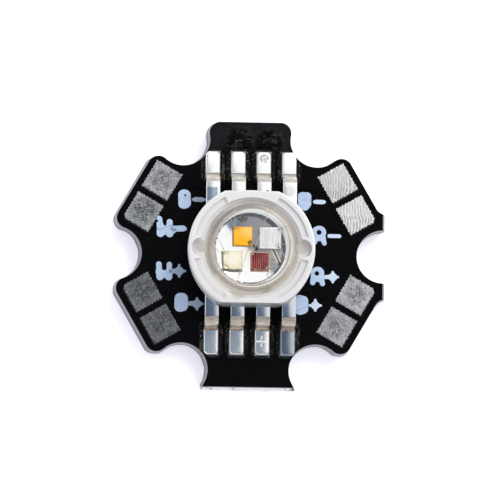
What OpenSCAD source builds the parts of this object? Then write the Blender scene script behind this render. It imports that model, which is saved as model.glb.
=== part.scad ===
// High power four colour LED emitter, reflowed onto a six armed aluminium star board.
// The origin is the centre of the star on its bare bottom face, and +Z points out of the lens.
// Looking down on the lens, +X is to the right and +Y is towards the unscored top arm.

/* [Star board] */
// Distance between the ends of two opposite arms
star_across = 20; // [19.4:0.1:21]
// Distance from the star's centre to the centre of each screw notch
notch_pitch_r = 10; // [9.8:0.05:10.3]
// Radius of the six screw notches between the arms
notch_r = 2; // [1.8:0.05:2.15]
// Radius of the routed corners at the arm ends
corner_r = 0.8; // [0.4:0.05:1.1]
// How far the snapped end of the bottom arm stands past the routed arm ends
break_proud = 0.06; // [0.02:0.01:0.25]
// How far the two snapped tabs on the right stand past the star's half width
tab_proud = 0.1; // [0.02:0.01:0.25]
// Radius of the cutter that stopped beside each snapped tab
router_r = 0.8; // [0.5:0.05:1]
// Distance of that cutter's last centre from the star's X axis
router_y = 4; // [3.85:0.05:4.3]
// Depth of the scored groove on each face, along which the star was snapped off its panel
score_depth = 0.45; // [0.2:0.05:0.6]
// Width of one flank of that groove, seen from above
score_w = 0.18; // [0.08:0.01:0.28]

/* [Board layers] */
// Thickness of the aluminium core
core_t = 1.4; // [1.2:0.1:2]
// Thickness of the insulating layer between core and copper
dielectric_t = 0.1; // [0.06:0.01:0.2]
// Thickness of the copper circuit
copper_t = 0.07; // [0.035:0.005:0.12]
// Thickness of the black solder mask
mask_t = 0.03; // [0.02:0.005:0.05]
// Thickness of the mask on the side walls of the copper
mask_wall = 0.04; // [0.02:0.01:0.08]

/* [Wire pads and tracks] */
// Length of a wire pad along its arm
pad_len = 2.2; // [1.8:0.05:2.4]
// Width of a wire pad across its arm
pad_w = 2.25; // [1.9:0.05:2.35]
// Gap between the two wire pads of an arm
pad_gap = 0.5; // [0.4:0.05:0.7]
// Distance from the arm's end to the wire pads
pad_edge = 0.48; // [0.4:0.02:0.8]
// Cut corner of the wire pads beside the left and right notches
pad_cut = 0.25; // [0.1:0.05:0.5]
// Gap between the copper and the wall of a screw notch
copper_edge = 0.1; // [0.06:0.01:0.2]
// How far the mask laps over the edge of the copper
mask_lap = 0.08; // [0.05:0.01:0.1]
// Thickness of the tin on the wire pads
tin_t = 0.06; // [0.04:0.01:0.12]
// Width of the copper tracks
track_w = 0.8; // [0.4:0.05:0.9]
// Straight run of an inner lead's track below its foot, before it turns to its wire pad
turn_run = 1.1; // [0.9:0.05:1.3]
// Last run of that track along the arm, measured from the middle of the wire pad
pad_run = 1.5; // [1.3:0.05:1.8]
// Diameter of the copper land under the heat slug
thermal_land_d = 6; // [5.8:0.1:6.6]

/* [Emitter place] */
// How far the emitter sits to the right of the star's centre
emitter_x = 0.05; // [-0.1:0.01:0.1]
// How far the emitter sits towards the top arm from the star's centre
emitter_y = 0.08; // [-0.1:0.01:0.1]
// Thickness of the solder under the heat slug
slug_solder_t = 0.05; // [0.03:0.01:0.1]
// Thickness of the solder under the lead feet
foot_solder_t = 0.03; // [0.02:0.01:0.06]

/* [Leads] */
// Spacing of the four leads of a row
lead_pitch = 1.9; // [1.84:0.02:1.96]
// Width of a lead
lead_w = 1.05; // [0.95:0.05:1.15]
// Thickness of the lead frame
lead_t = 0.3; // [0.2:0.02:0.4]
// Distance between the tips of the two rows of leads
lead_span = 15.26; // [14.9:0.05:15.6]
// Flat length of a lead foot
foot_len = 1.75; // [1.4:0.05:1.9]
// Inner radius of the two bends of a lead
bend_r = 0.24; // [0.15:0.01:0.3]
// Height from the underside of a foot to the underside of the straight lead
lead_rise = 1.4; // [1.2:0.05:1.6]
// Cut corners of a foot tip
foot_cut = 0.2; // [0.05:0.01:0.3]
// Distance from the emitter's X axis to the inner ends of the outer leads
outer_end_y = 1.3; // [1:0.05:1.4]
// Gap between the inner leads and the neck of the heat slug
lead_gap = 0.2; // [0.15:0.01:0.3]
// Distance from the end and edge of a lead to its bond wire
post_inset = 0.2; // [0.12:0.01:0.26]
// Width of the solder fillet round a foot
fillet_w = 0.08; // [0.04:0.01:0.1]
// Height of that fillet above the copper
fillet_h = 0.2; // [0.1:0.01:0.3]
// Gap between a foot and the edge of the mask opening round it
land_gap = 0.12; // [0.1:0.01:0.15]
// Length of the solder heel under the lower bend
heel_len = 0.34; // [0.2:0.02:0.4]

/* [Heat slug] */
// Diameter of the heat slug
slug_d = 5.5; // [5:0.1:5.7]
// Height of the wide part of the heat slug
slug_base_h = 1.1; // [0.8:0.05:1.2]
// Diameter of the neck that stands up between the leads
neck_d = 4.3; // [4.1:0.05:4.4]
// Height of the whole heat slug
slug_h = 2.18; // [2.05:0.01:2.3]
// Gap between the cup's wall and the nearest corner of a die
cup_gap = 0.04; // [0.03:0.01:0.1]
// How far the cup's rim stands outside its floor
cup_flare = 0.08; // [0.02:0.01:0.12]
// Depth of the reflector cup
cup_depth = 0.35; // [0.3:0.01:0.45]
// Depth of the anchor groove that locks the slug in the moulding
anchor_depth = 0.2; // [0.1:0.02:0.3]
// Width of that groove
anchor_w = 0.25; // [0.15:0.01:0.35]

/* [Package body] */
// Diameter of the moulded body
body_d = 9.4; // [9.2:0.05:9.8]
// Distance between the two flats that the leads come out of
body_flats = 8.5; // [8.3:0.05:8.8]
// Height of the body above the leads
body_above = 1.2; // [1.05:0.05:1.5]
// Depth of the body below the leads
body_below = 1.1; // [0.9:0.05:1.25]
// How far the lower half is set in from the upper half
parting_step = 0.1; // [0.04:0.01:0.2]
// Bevel on the body's top edge
body_bevel = 0.12; // [0.05:0.01:0.2]
// Diameter of the open well round the slug's neck
well_d = 6.2; // [6.1:0.05:6.4]
// Outer radius of the four curved ledges that widen the lens seat
ledge_r = 4.28; // [4.15:0.01:4.36]
// Depth of those ledges below the body's top
ledge_depth = 0.15; // [0.12:0.01:0.3]
// Angle from the ears at which a ledge starts
ledge_from = 12; // [12:1:18]
// Angle that a ledge runs through
ledge_sweep = 50; // [36:1:52]
// How far the moulding gate stands out of the top flat
gate_proud = 0.2; // [0.1:0.01:0.25]
// Distance of the gate's broken side from the body's centre line
gate_x = 0.45; // [0.2:0.05:0.8]

/* [Lens] */
// Radius of the clear dome
dome_r = 3.3; // [3.1:0.05:3.4]
// Height of the dome's centre above the lens seat
dome_lift = 0.05; // [0:0.01:0.2]
// Diameter of the lens flange
flange_d = 7.5; // [7.4:0.02:7.6]
// Thickness of the lens flange
flange_t = 0.35; // [0.25:0.01:0.45]
// How far the flange sits below the body's top
flange_sunk = 0.05; // [0.02:0.01:0.1]
// Diameter of the step between flange and dome
collar_d = 6.94; // [6.84:0.02:7.1]
// Height of that step above the flange
collar_h = 0.14; // [0.08:0.01:0.2]
// Radius of the two locating ears of the lens
ear_r = 0.69; // [0.6:0.01:0.74]
// Distance of the ears from the lens axis
ear_pitch_r = 3.73; // [3.7:0.01:3.78]
// Radius of the pin mark in each ear
ear_pin_r = 0.42; // [0.3:0.01:0.5]
// Depth of the pin mark
ear_pin_depth = 0.1; // [0.05:0.01:0.15]
// Gap between the lens and its seat in the body
lens_gap = 0.03; // [0.02:0.005:0.04]
// Diameter of the hollow in the lens's underside
hollow_d = 5; // [4.8:0.05:5.2]
// Height of that hollow
hollow_h = 1.2; // [1.1:0.02:1.4]

/* [Dies and bond wires] */
// Width of the phosphor coated white die
white_w = 0.92; // [0.86:0.01:0.96]
// X of the white die's centre from the cup's centre
white_x = -0.4; // [-0.44:0.01:-0.37]
// Y of the white die's centre from the cup's centre
white_y = 0.67; // [0.64:0.01:0.72]
// Width of the clear blue die
blue_w = 1.02; // [0.97:0.01:1.04]
// X of the blue die's centre from the cup's centre
blue_x = 0.91; // [0.88:0.01:0.92]
// Y of the blue die's centre from the cup's centre
blue_y = 0.6; // [0.57:0.01:0.61]
// Width of the pale green die
green_w = 0.97; // [0.92:0.01:1]
// X of the green die's centre from the cup's centre
green_x = -0.92; // [-0.94:0.01:-0.88]
// Y of the green die's centre from the cup's centre
green_y = -0.55; // [-0.58:0.01:-0.53]
// Width of the red die
red_w = 0.87; // [0.82:0.01:0.92]
// X of the red die's centre from the cup's centre
red_x = 0.43; // [0.39:0.01:0.46]
// Y of the red die's centre from the cup's centre
red_y = -0.55; // [-0.6:0.01:-0.52]
// Height of a die's chip
chip_h = 0.12; // [0.1:0.01:0.15]
// Thickness of the coating or window layer on a chip
coat_t = 0.05; // [0.03:0.01:0.08]
// Radius of the two bond pads left clear of that layer
bond_pad_r = 0.17; // [0.14:0.01:0.2]
// Thickness of the joint under a die
attach_t = 0.02; // [0.01:0.005:0.03]
// How far that joint spreads past the die
attach_lip = 0.02; // [0.01:0.005:0.025]
// Diameter of the bond wires
wire_d = 0.03; // [0.02:0.005:0.05]
// Diameter of the ball at each end of a bond wire
ball_d = 0.1; // [0.08:0.01:0.13]
// Height of that ball
ball_h = 0.05; // [0.04:0.005:0.08]
// Least rise of a wire's loop above the line between its two bonds
loop_base = 0.22; // [0.2:0.01:0.25]
// Angle of the slope that adds to a loop's rise along the line between its two bonds
loop_angle = 11; // [10:0.5:13]

/* [Hidden] */
$fn = 96;
wire_facets = 24;
ball_facets = 32;

// Extra length that lets a cutting solid pass clean through a face
past = 1;
// Small overlap that makes an arc cross what it runs into, where the two would only touch
graze = 0.002;

// Star outline
arm_r = star_across / 2;
half_arm_angle = 30;
arm_dir = [cos(half_arm_angle), sin(half_arm_angle)];
break_y = -(arm_r + break_proud);
tab_x = arm_r + tab_proud;

// Levels of the board's layers, from the bottom face up
z_core = core_t;
z_dielectric = z_core + dielectric_t;
z_copper = z_dielectric + copper_t;
z_mask = z_copper + mask_t;

// Levels of the emitter
z_slug = z_copper + slug_solder_t;
z_slug_base = z_slug + slug_base_h;
z_rim = z_slug + slug_h;
z_cup = z_rim - cup_depth;
z_foot = z_copper + foot_solder_t;
z_bar = z_foot + lead_rise;
z_bar_top = z_bar + lead_t;
z_body = z_bar - body_below;
z_body_top = z_bar_top + body_above;
z_flange_top = z_body_top - flange_sunk;
z_seat = z_flange_top - flange_t;
z_dome = z_seat + dome_lift;
z_chip = z_cup + attach_t;
z_chip_top = z_chip + chip_h;

// The cup's floor reaches past the outer corners of the two outer dies
cup_floor_r = cup_gap + max(
    norm([blue_x, blue_y] + [blue_w, blue_w] / 2),
    norm([green_x, green_y] - [green_w, green_w] / 2)
);
cup_rim_r = cup_floor_r + cup_flare;

// Lead stations, measured outwards from the emitter's centre
y_tip = lead_span / 2;
y_foot = y_tip - foot_len;
y_bend = y_foot - 2 * bend_r - lead_t;
inner_end_y = neck_d / 2 + lead_gap;

// The fillets and the heel lean back towards their tops
fillet_top_w = fillet_w / 4;
heel_top_len = heel_len / 2;

// Wire pads, in the frame of their arm
pad_r = arm_r - pad_edge - pad_len / 2;
pad_t = (pad_gap + pad_w) / 2;

// Colours
aluminium = [0.78, 0.79, 0.8];
glass_resin = [0.86, 0.83, 0.72];
copper = [0.8, 0.48, 0.3];
mask_black = [0.05, 0.05, 0.055];
tin = [0.62, 0.62, 0.64];
lead_silver = [0.88, 0.88, 0.86];
slug_silver = [0.85, 0.85, 0.84];
milky = [0.9, 0.89, 0.87];
clear = [0.93, 0.95, 0.97, 0.35];
gel = [0.95, 0.96, 0.97, 0.25];
gold = [0.86, 0.68, 0.32];
amber = [1, 0.68, 0.14];
clear_chip = [0.85, 0.85, 0.88];
pale_yellow = [0.93, 0.9, 0.72];
deep_red = [0.55, 0.1, 0.12];

// Leads 1 to 4 are the top row from left to right, and 5 to 8 the bottom row
function side_y(i) = i <= 4 ? 1 : -1;
function column(i) = (i - 1) % 4;
function lead_x(i) = (column(i) - 1.5) * lead_pitch;
function side_x(i) = lead_x(i) < 0 ? -1 : 1;
function is_outer(i) = column(i) == 0 || column(i) == 3;
function lead_end_y(i) = is_outer(i) ? outer_end_y : inner_end_y;

// Draws its children in the quarter of lead i, where both axes point away from the centre
module in_quarter(i) {
    mirror([side_x(i) < 0 ? 1 : 0, 0, 0])
        mirror([0, side_y(i) < 0 ? 1 : 0, 0])
            children();
}

// The same quarter's place of lead i's land, with the emitter's offset seen in that quarter
function land_x(i) = abs(lead_x(i)) + side_x(i) * emitter_x;
function land_y0(i) = y_foot - heel_len - land_gap + side_y(i) * emitter_y;
function land_y1(i) = y_tip + land_gap + fillet_w + side_y(i) * emitter_y;

// A point given by its distance along an arm and across it
function on_arm(angle, r, t) = [r * cos(angle) - t * sin(angle), r * sin(angle) + t * cos(angle)];

// Offsets of a bent ribbon's edge from its middle line
function unit(v) = v / norm(v);
function to_left(v) = [-v[1], v[0]];
function step_into(p, k) = unit(p[k] - p[k - 1]);
function mitre(p, k) =
    let (
        a = k > 0 ? step_into(p, k) : step_into(p, 1),
        b = k < len(p) - 1 ? step_into(p, k + 1) : a,
        n = unit(to_left(a) + to_left(b))
    )
    n / (n * to_left(a));

module ribbon(p, w) {
    last = len(p) - 1;
    polygon(concat(
        [for (k = [0:last]) p[k] - mitre(p, k) * w / 2],
        [for (k = [last:-1:0]) p[k] + mitre(p, k) * w / 2]
    ));
}

module placed() {
    translate([emitter_x, emitter_y, 0])
        children();
}

module disc(r, z0, z1) {
    translate([0, 0, z0])
        cylinder(r = r, h = z1 - z0);
}

// Star board outline

// Round bottomed screw notch, open outwards along +X
module screw_notch() {
    half = notch_r - graze;
    translate([notch_pitch_r, 0])
        circle(r = notch_r);
    translate([notch_pitch_r, -half])
        square([arm_r, 2 * half]);
}

// What the cutter takes off an arm's corner, with the arm along +X and the notch on the +Y side
module corner_waste() {
    notch = notch_pitch_r * arm_dir;
    cx = arm_r - corner_r;
    cy = notch[1] - sqrt(pow(notch_r + corner_r, 2) - pow(notch[0] - cx, 2));
    difference() {
        polygon([[cx, cy], [arm_r + past, cy], [arm_r + past, notch[1]], notch]);
        translate([cx, cy])
            circle(r = corner_r + graze);
    }
}

// The hexagon that the arms are cut from, let out at the bottom and right to the snapped edges
module star_blank() {
    side = arm_r * tan(half_arm_angle);
    far = tab_x + past;
    // Last centre of the router beside the upper tab, and where its cut leaves the arm's end
    stop = [(arm_r + router_r - router_y * arm_dir[1]) / arm_dir[0], router_y];
    leave = stop - router_r * arm_dir;
    difference() {
        polygon([
            [-2 * side, 0], [-side, -arm_r], [-side, break_y], [side, break_y], [side, -arm_r],
            [leave[0], -leave[1]], [stop[0], -router_y], [far, -router_y],
            [far, router_y], stop, leave, [side, arm_r], [-side, arm_r]
        ]);
        for (up = [-1, 1])
            translate([stop[0], up * router_y])
                circle(r = router_r + graze);
        translate([tab_x, -arm_r])
            square([2 * past, 2 * arm_r]);
    }
}

module star_outline() {
    difference() {
        star_blank();
        for (k = [0:5])
            rotate(2 * half_arm_angle * k)
                screw_notch();
        for (arm = [30, 90, 150, 210])
            rotate(arm)
                corner_waste();
        for (arm = [90, 150, 210, 330])
            rotate(arm)
                mirror([0, 1])
                    corner_waste();
    }
}

// Flank of a scored groove: the edge runs along X, outwards is -Y, and the groove opens at z = 0
module score_flank(length) {
    slope = score_depth / score_w;
    rotate([90, 0, 90])
        linear_extrude(height = length, center = true)
            polygon([
                [score_w + past / slope, past],
                [-past / slope, -score_depth - past],
                [-2 * past, -score_depth - past],
                [-2 * past, past]
            ]);
}

// Both grooves of both snapped edges
module score_cuts() {
    for (edge = [[0, break_y, 0], [tab_x, 0, 90]])
        translate([edge[0], edge[1], 0])
            rotate(edge[2]) {
                translate([0, 0, z_mask])
                    score_flank(2 * router_y);
                mirror([0, 0, 1])
                    score_flank(2 * router_y);
            }
}

module board_layer(z0, z1) {
    difference() {
        translate([0, 0, z0])
            linear_extrude(height = z1 - z0)
                star_outline();
        score_cuts();
    }
}

module core_plate() {
    color(aluminium)
        board_layer(0, z_core);
}

module dielectric_layer() {
    color(glass_resin)
        board_layer(z_core, z_dielectric);
}

// Copper circuit

// Outline of a wire pad opening in the quarter frame, made larger by grow on every side
module pad_outline(i, grow) {
    across = is_outer(i) ? 1 : -1;
    far = pad_len / 2 + grow;
    half = pad_w / 2 + grow;
    cut = is_outer(i) ? 0 : pad_cut;
    rotate(half_arm_angle)
        translate([pad_r, across * pad_t])
            polygon([
                [-far, -half], [far - cut, -half], [far, -half + cut], [far, half], [-far, half]
            ]);
}

// Middle line of a track from its foot land to its wire pad, in the quarter frame
function track_path(i) =
    let (
        x = land_x(i),
        start = [x, (land_y0(i) + land_y1(i)) / 2],
        across = is_outer(i) ? pad_t : -pad_t,
        pad = on_arm(half_arm_angle, pad_r, across)
    )
    is_outer(i)
        ? [start, [x, pad[1]], pad]
        : [start, [x, y_foot - turn_run], on_arm(half_arm_angle, pad_r - pad_run, across), pad];

// Outline of a foot land's mask opening in the quarter frame
module land_outline(i, grow) {
    half = lead_w / 2 + land_gap + grow;
    translate([land_x(i) - half, land_y0(i) - grow])
        square([2 * half, land_y1(i) - land_y0(i) + 2 * grow]);
}

// The screw notch beside the outer leads, made larger by gap, in the quarter frame
module land_notch(gap) {
    translate([notch_pitch_r * arm_dir[1], notch_pitch_r * arm_dir[0]])
        circle(r = notch_r + gap);
}

module track_outline(i, grow) {
    difference() {
        union() {
            land_outline(i, mask_lap + grow);
            pad_outline(i, mask_lap + grow);
            ribbon(track_path(i), track_w + 2 * grow);
        }
        land_notch(copper_edge - grow);
    }
}

module copper_track(i) {
    color(copper)
        translate([0, 0, z_dielectric])
            linear_extrude(height = copper_t)
                in_quarter(i)
                    track_outline(i, 0);
}

module thermal_land() {
    color(copper)
        placed()
            disc(thermal_land_d / 2, z_dielectric, z_copper);
}

// The mask lies on the board, climbs over the copper and is open over the pads
module solder_mask() {
    color(mask_black)
        difference() {
            union() {
                board_layer(z_dielectric, z_dielectric + mask_t);
                translate([0, 0, z_dielectric])
                    linear_extrude(height = copper_t + mask_t) {
                        for (i = [1:8])
                            in_quarter(i)
                                track_outline(i, mask_wall);
                        placed()
                            circle(r = thermal_land_d / 2 + mask_wall);
                    }
            }
            for (i = [1:8]) {
                copper_track(i);
                translate([0, 0, z_dielectric])
                    linear_extrude(height = copper_t + mask_t + past)
                        in_quarter(i) {
                            pad_outline(i, 0);
                            difference() {
                                land_outline(i, 0);
                                land_notch(copper_edge + mask_lap);
                            }
                        }
            }
            thermal_land();
            placed()
                disc(thermal_land_d / 2 - mask_lap, z_dielectric, z_mask + past);
        }
}

module wire_pad_tin(i) {
    color(tin)
        translate([0, 0, z_copper])
            linear_extrude(height = tin_t)
                in_quarter(i)
                    pad_outline(i, 0);
}

// Leads

// Quarter turn of the lead strip, in the plane of the lead's length and height
module lead_bend(y, z, from) {
    translate([0, y, z])
        rotate([90, 0, 90])
            rotate([0, 0, from])
                rotate_extrude(angle = 90)
                    translate([bend_r, -lead_w / 2])
                        square([lead_t, lead_w]);
}

module foot_outline() {
    half = lead_w / 2;
    polygon([
        [-half, y_foot], [half, y_foot], [half, y_tip - foot_cut],
        [half - foot_cut, y_tip], [-half + foot_cut, y_tip], [-half, y_tip - foot_cut]
    ]);
}

// The straight part of a lead, from its bond post inside the body to its upper bend
module lead_bar(i) {
    translate([-lead_w / 2, lead_end_y(i), z_bar])
        cube([lead_w, y_bend - lead_end_y(i), lead_t]);
}

module lead_strip(i) {
    riser_z = z_foot + lead_t + bend_r;
    lead_bar(i);
    lead_bend(y_bend, z_bar - bend_r, 0);
    translate([-lead_w / 2, y_bend + bend_r, riser_z])
        cube([lead_w, lead_t, z_bar - bend_r - riser_z]);
    lead_bend(y_foot, riser_z, 180);
    translate([0, 0, z_foot])
        linear_extrude(height = lead_t)
            foot_outline();
}

// Draws its children at lead i's station, with +Y towards its tip
module at_lead(i) {
    placed()
        translate([lead_x(i), 0, 0])
            mirror([0, side_y(i) < 0 ? 1 : 0, 0])
                children();
}

module lead(i) {
    color(lead_silver)
        at_lead(i)
            lead_strip(i);
}

// Solder between a foot and its land, with a low sloping fillet on all sides
module lead_solder(i) {
    foot = lead_w / 2;
    wide = foot + fillet_w;
    narrow = foot + fillet_top_w;
    top = z_copper + fillet_h;
    color(tin)
        difference() {
            at_lead(i)
                intersection() {
                    translate([0, y_tip + past, 0])
                        rotate([90, 0, 0])
                            linear_extrude(height = y_tip)
                                polygon([
                                    [-wide, z_copper], [wide, z_copper], [narrow, top], [-narrow, top]
                                ]);
                    rotate([90, 0, 90])
                        linear_extrude(height = lead_w + 2 * past, center = true)
                            polygon([
                                [y_foot - heel_len, z_copper], [y_tip + fillet_w, z_copper],
                                [y_tip + fillet_top_w, top], [y_foot - heel_top_len, top]
                            ]);
                }
            lead(i);
            translate([0, 0, z_dielectric])
                linear_extrude(height = lead_rise)
                    in_quarter(i)
                        land_notch(copper_edge + mask_lap);
        }
}

// Emitter body

module slug_solder() {
    color(tin)
        placed()
            disc(slug_d / 2, z_copper, z_slug);
}

module slug_solid() {
    difference() {
        union() {
            disc(slug_d / 2, z_slug, z_slug_base);
            disc(neck_d / 2, z_slug, z_rim);
        }
        translate([0, 0, z_slug + (slug_base_h + anchor_w) / 2])
            rotate_extrude()
                translate([slug_d / 2 - anchor_depth, -anchor_w / 2])
                    square([anchor_depth + past, anchor_w]);
        reflector_cup();
    }
}

// The reflector cup, a shallow cone that carries the dies
module reflector_cup() {
    h = cup_depth + past;
    translate([0, 0, z_cup])
        cylinder(r1 = cup_floor_r, r2 = cup_floor_r + cup_flare * h / cup_depth, h = h);
}

module heat_slug() {
    color(slug_silver)
        placed()
            slug_solid();
}

// Half profile of the moulding, with the lower half set in at the parting line
module body_profile() {
    r = body_d / 2;
    polygon([
        [0, z_body], [r - parting_step, z_body], [r - parting_step, z_bar], [r, z_bar],
        [r, z_body_top - body_bevel], [r - body_bevel, z_body_top], [0, z_body_top]
    ]);
}

// Plan of the moulding between its two flats
module body_plan(inset) {
    half = body_flats / 2 - inset;
    translate([-body_d / 2, -half])
        square([body_d, 2 * half]);
}

// The moulding as it comes out of its mould, before anything is let into it
module body_blank() {
    intersection() {
        rotate_extrude()
            body_profile();
        union() {
            translate([0, 0, z_body - past])
                linear_extrude(height = z_bar - z_body + past)
                    body_plan(parting_step);
            translate([0, 0, z_bar])
                linear_extrude(height = body_above + lead_t + past)
                    body_plan(0);
        }
    }
    // Gate stub on the top flat, round on one side and broken off square on the other
    translate([0, 0, z_bar_top])
        intersection() {
            cylinder(r = body_flats / 2 + gate_proud, h = body_above - body_bevel);
            translate([-body_flats / 2, 0, 0])
                cube([body_flats / 2 + gate_x, body_flats, body_above]);
        }
}

// Flange and ears of the lens up to a given level, made larger by gap where they cut their seat
module lens_foot(gap, top) {
    disc(flange_d / 2 + gap, z_seat, top);
    for (side = [-1, 1])
        translate([side * ear_pitch_r, 0, 0])
            disc(ear_r + gap, z_seat, top);
}

// Curved ledges outside the lens flange, which run into its seat
module seat_ledges() {
    for (start = [ledge_from, 180 + ledge_from])
        for (flip = [0, 1])
            mirror([0, flip, 0])
                translate([0, 0, z_body_top - ledge_depth])
                    rotate([0, 0, start])
                        rotate_extrude(angle = ledge_sweep)
                            translate([flange_d / 2, 0])
                                square([ledge_r - flange_d / 2, ledge_depth + past]);
}

module package_body() {
    color(milky)
        placed()
            difference() {
                body_blank();
                disc(well_d / 2, z_bar_top, z_body_top + past);
                lens_foot(lens_gap, z_body_top + past);
                seat_ledges();
                slug_solid();
                disc(cup_rim_r, z_slug_base, z_body_top);
                for (i = [1:8])
                    translate([lead_x(i), 0, 0])
                        mirror([0, side_y(i) < 0 ? 1 : 0, 0])
                            lead_bar(i);
            }
}

// Lens and filling

// Rounded hollow under the dome, where the wires loop
module lens_hollow() {
    half = hollow_d / 2;
    r = (half * half + hollow_h * hollow_h) / (2 * hollow_h);
    intersection() {
        translate([0, 0, z_seat + hollow_h - r])
            sphere(r = r);
        disc(half + past, z_seat, z_seat + hollow_h + past);
    }
}

module lens() {
    color(clear)
        placed()
            difference() {
                union() {
                    lens_foot(0, z_flange_top);
                    disc(collar_d / 2, z_seat, z_flange_top + collar_h);
                    intersection() {
                        translate([0, 0, z_dome])
                            sphere(r = dome_r);
                        disc(flange_d, z_flange_top, z_dome + dome_r + past);
                    }
                }
                lens_hollow();
                for (side = [-1, 1])
                    translate([side * ear_pitch_r, 0, 0])
                        disc(ear_pin_r, z_flange_top - ear_pin_depth, z_flange_top + past);
            }
}

module silicone_fill() {
    color(gel)
        difference() {
            placed()
                difference() {
                    union() {
                        disc(well_d / 2, z_bar_top, z_seat);
                        lens_hollow();
                    }
                    slug_solid();
                }
            for (k = [0:3]) {
                die(k);
                die_attach(k);
            }
            for (i = [1:8])
                bond_wire(i);
        }
}

// Dies, each with its place, width, colour and the corners of its two bond pads
DIES = [
    ["white", white_x, white_y, white_w, amber, [-1, 1], [1, -1]],
    ["blue", blue_x, blue_y, blue_w, clear_chip, [1, 1], [1, -1]],
    ["green", green_x, green_y, green_w, pale_yellow, [-1, 1], [-1, -1]],
    ["red", red_x, red_y, red_w, deep_red, [-1, 1], [1, -1]]
];

// Bond pad of die k, where end 0 is wired to the top row and end 1 to the bottom row
function die_pad(k, end) =
    let (d = DIES[k], corner = d[5 + end], reach = d[3] / 2 - bond_pad_r / 2)
    [d[1] + corner[0] * reach, d[2] + corner[1] * reach];

module die(k) {
    d = DIES[k];
    half = d[3] / 2;
    color(d[4])
        placed()
            difference() {
                translate([d[1] - half, d[2] - half, z_chip])
                    cube([d[3], d[3], chip_h + coat_t]);
                for (end = [0, 1])
                    translate([die_pad(k, end)[0], die_pad(k, end)[1], z_chip_top])
                        cylinder(r = bond_pad_r, h = coat_t + past);
            }
}

module die_attach(k) {
    d = DIES[k];
    half = d[3] / 2 + attach_lip;
    color(slug_silver)
        placed()
            translate([d[1] - half, d[2] - half, z_cup])
                cube([2 * half, 2 * half, attach_t]);
}

// Bond wires

// Number of the die that each lead is wired to, in the order of the leads
WIRED_TO = [2, 0, 3, 1, 2, 0, 3, 1];

// Place of the bond on lead i, near its inner end and the edge that faces the cup
function post(i) =
    [
        lead_x(i) - side_x(i) * (is_outer(i) ? lead_w / 2 - post_inset : -post_inset / 2),
        side_y(i) * (lead_end_y(i) + post_inset)
    ];

module bond_wire(i) {
    pad = die_pad(WIRED_TO[i - 1], side_y(i) > 0 ? 0 : 1);
    across = post(i) - pad;
    run = norm(across);
    rise = z_bar_top - z_chip_top;
    // The loop is an arc of one circle through the middles of both balls
    chord = norm([run, rise]);
    tilt = atan2(rise, run);
    sag = loop_base + chord * tan(loop_angle);
    r = (chord * chord / 4 + sag * sag) / (2 * sag);
    half_angle = acos((r - sag) / r);
    color(gold)
        placed()
            translate([pad[0], pad[1], z_chip_top]) {
                ball();
                translate([across[0], across[1], rise])
                    ball();
                translate([0, 0, ball_h / 2])
                    rotate([90, 0, atan2(across[1], across[0])])
                        rotate([0, 0, tilt])
                            translate([chord / 2, sag - r, 0])
                                rotate([0, 0, 90 - half_angle])
                                    rotate_extrude(angle = 2 * half_angle)
                                        translate([r, 0])
                                            circle(d = wire_d, $fn = wire_facets);
            }
}

module ball() {
    cylinder(d = ball_d, h = ball_h, $fn = ball_facets);
}

core_plate();
dielectric_layer();
solder_mask();
thermal_land();
slug_solder();
heat_slug();
package_body();
lens();
silicone_fill();
for (k = [0:3]) {
    die(k);
    die_attach(k);
}
for (i = [1:8]) {
    copper_track(i);
    wire_pad_tin(i);
    lead(i);
    lead_solder(i);
    bond_wire(i);
}
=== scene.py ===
# %% [markdown]
# # A four colour power LED on its star board
# The part is an emitter with a clear dome and eight bent leads, soldered on a black star shaped board.
# The CAD solids give every size and place. This notebook gives them their real surfaces: tarnished
# silver leads, milky plastic, a clear dome over a mirror cup, grainy tin and thick white print.
# Each piece stands in metres in the same frame as the CAD, so nothing has to be fitted by eye.
# Lengths are easier to read in mm, so they are written in mm and multiplied by MM for Blender.

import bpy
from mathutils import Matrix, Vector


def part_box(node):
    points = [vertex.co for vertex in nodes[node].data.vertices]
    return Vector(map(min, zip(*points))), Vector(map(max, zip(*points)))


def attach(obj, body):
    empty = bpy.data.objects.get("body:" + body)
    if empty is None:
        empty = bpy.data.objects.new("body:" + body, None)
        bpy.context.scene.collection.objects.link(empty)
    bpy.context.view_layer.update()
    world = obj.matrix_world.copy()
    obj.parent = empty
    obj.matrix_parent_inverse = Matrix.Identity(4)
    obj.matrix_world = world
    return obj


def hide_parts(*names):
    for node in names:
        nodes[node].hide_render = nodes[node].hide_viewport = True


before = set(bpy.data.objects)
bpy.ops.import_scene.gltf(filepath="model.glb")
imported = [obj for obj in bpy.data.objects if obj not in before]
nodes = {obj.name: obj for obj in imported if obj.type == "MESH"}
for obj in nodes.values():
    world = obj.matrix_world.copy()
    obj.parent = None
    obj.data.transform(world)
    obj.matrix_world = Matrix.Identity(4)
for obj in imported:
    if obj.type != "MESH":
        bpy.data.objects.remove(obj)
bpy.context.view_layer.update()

import math
from collections import Counter

import bmesh
import bpy
import numpy as np
from mathutils import Matrix, Vector, noise
from mathutils.bvhtree import BVHTree

MM = 0.001
TINY = 0.001 * MM

# %% [markdown]
# ## Camera
# The picture was taken from almost straight above. Raised points are shifted up and a little to the
# right, so the camera stood a little to the front and left of the part. A long lens from far away
# keeps the star's six arms alike. The part lies turned by less than a degree, and the camera's roll
# takes that up, so that the board itself can keep to the axes.

# %% Set up the camera
PICTURE_SIDE = 500
PX_PER_MM = 13.44
STAR_PX = (249.35, 254.6)
PART_TURN = math.radians(0.6)
RAISED_SHIFT = Vector((0.045, 0.15, 0))
CAMERA_AWAY, SENSOR = 350, 36
SEEN_FROM, SEEN_TO = 10, 10000
BOARD_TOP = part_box("solder_mask")[1].z / MM


def board_spot(right, up):
    """Place in mm on the board of a point that lies that far right and up of its centre in the picture."""
    turn = Matrix.Rotation(PART_TURN, 2)
    return turn @ Vector((right, up))


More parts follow.
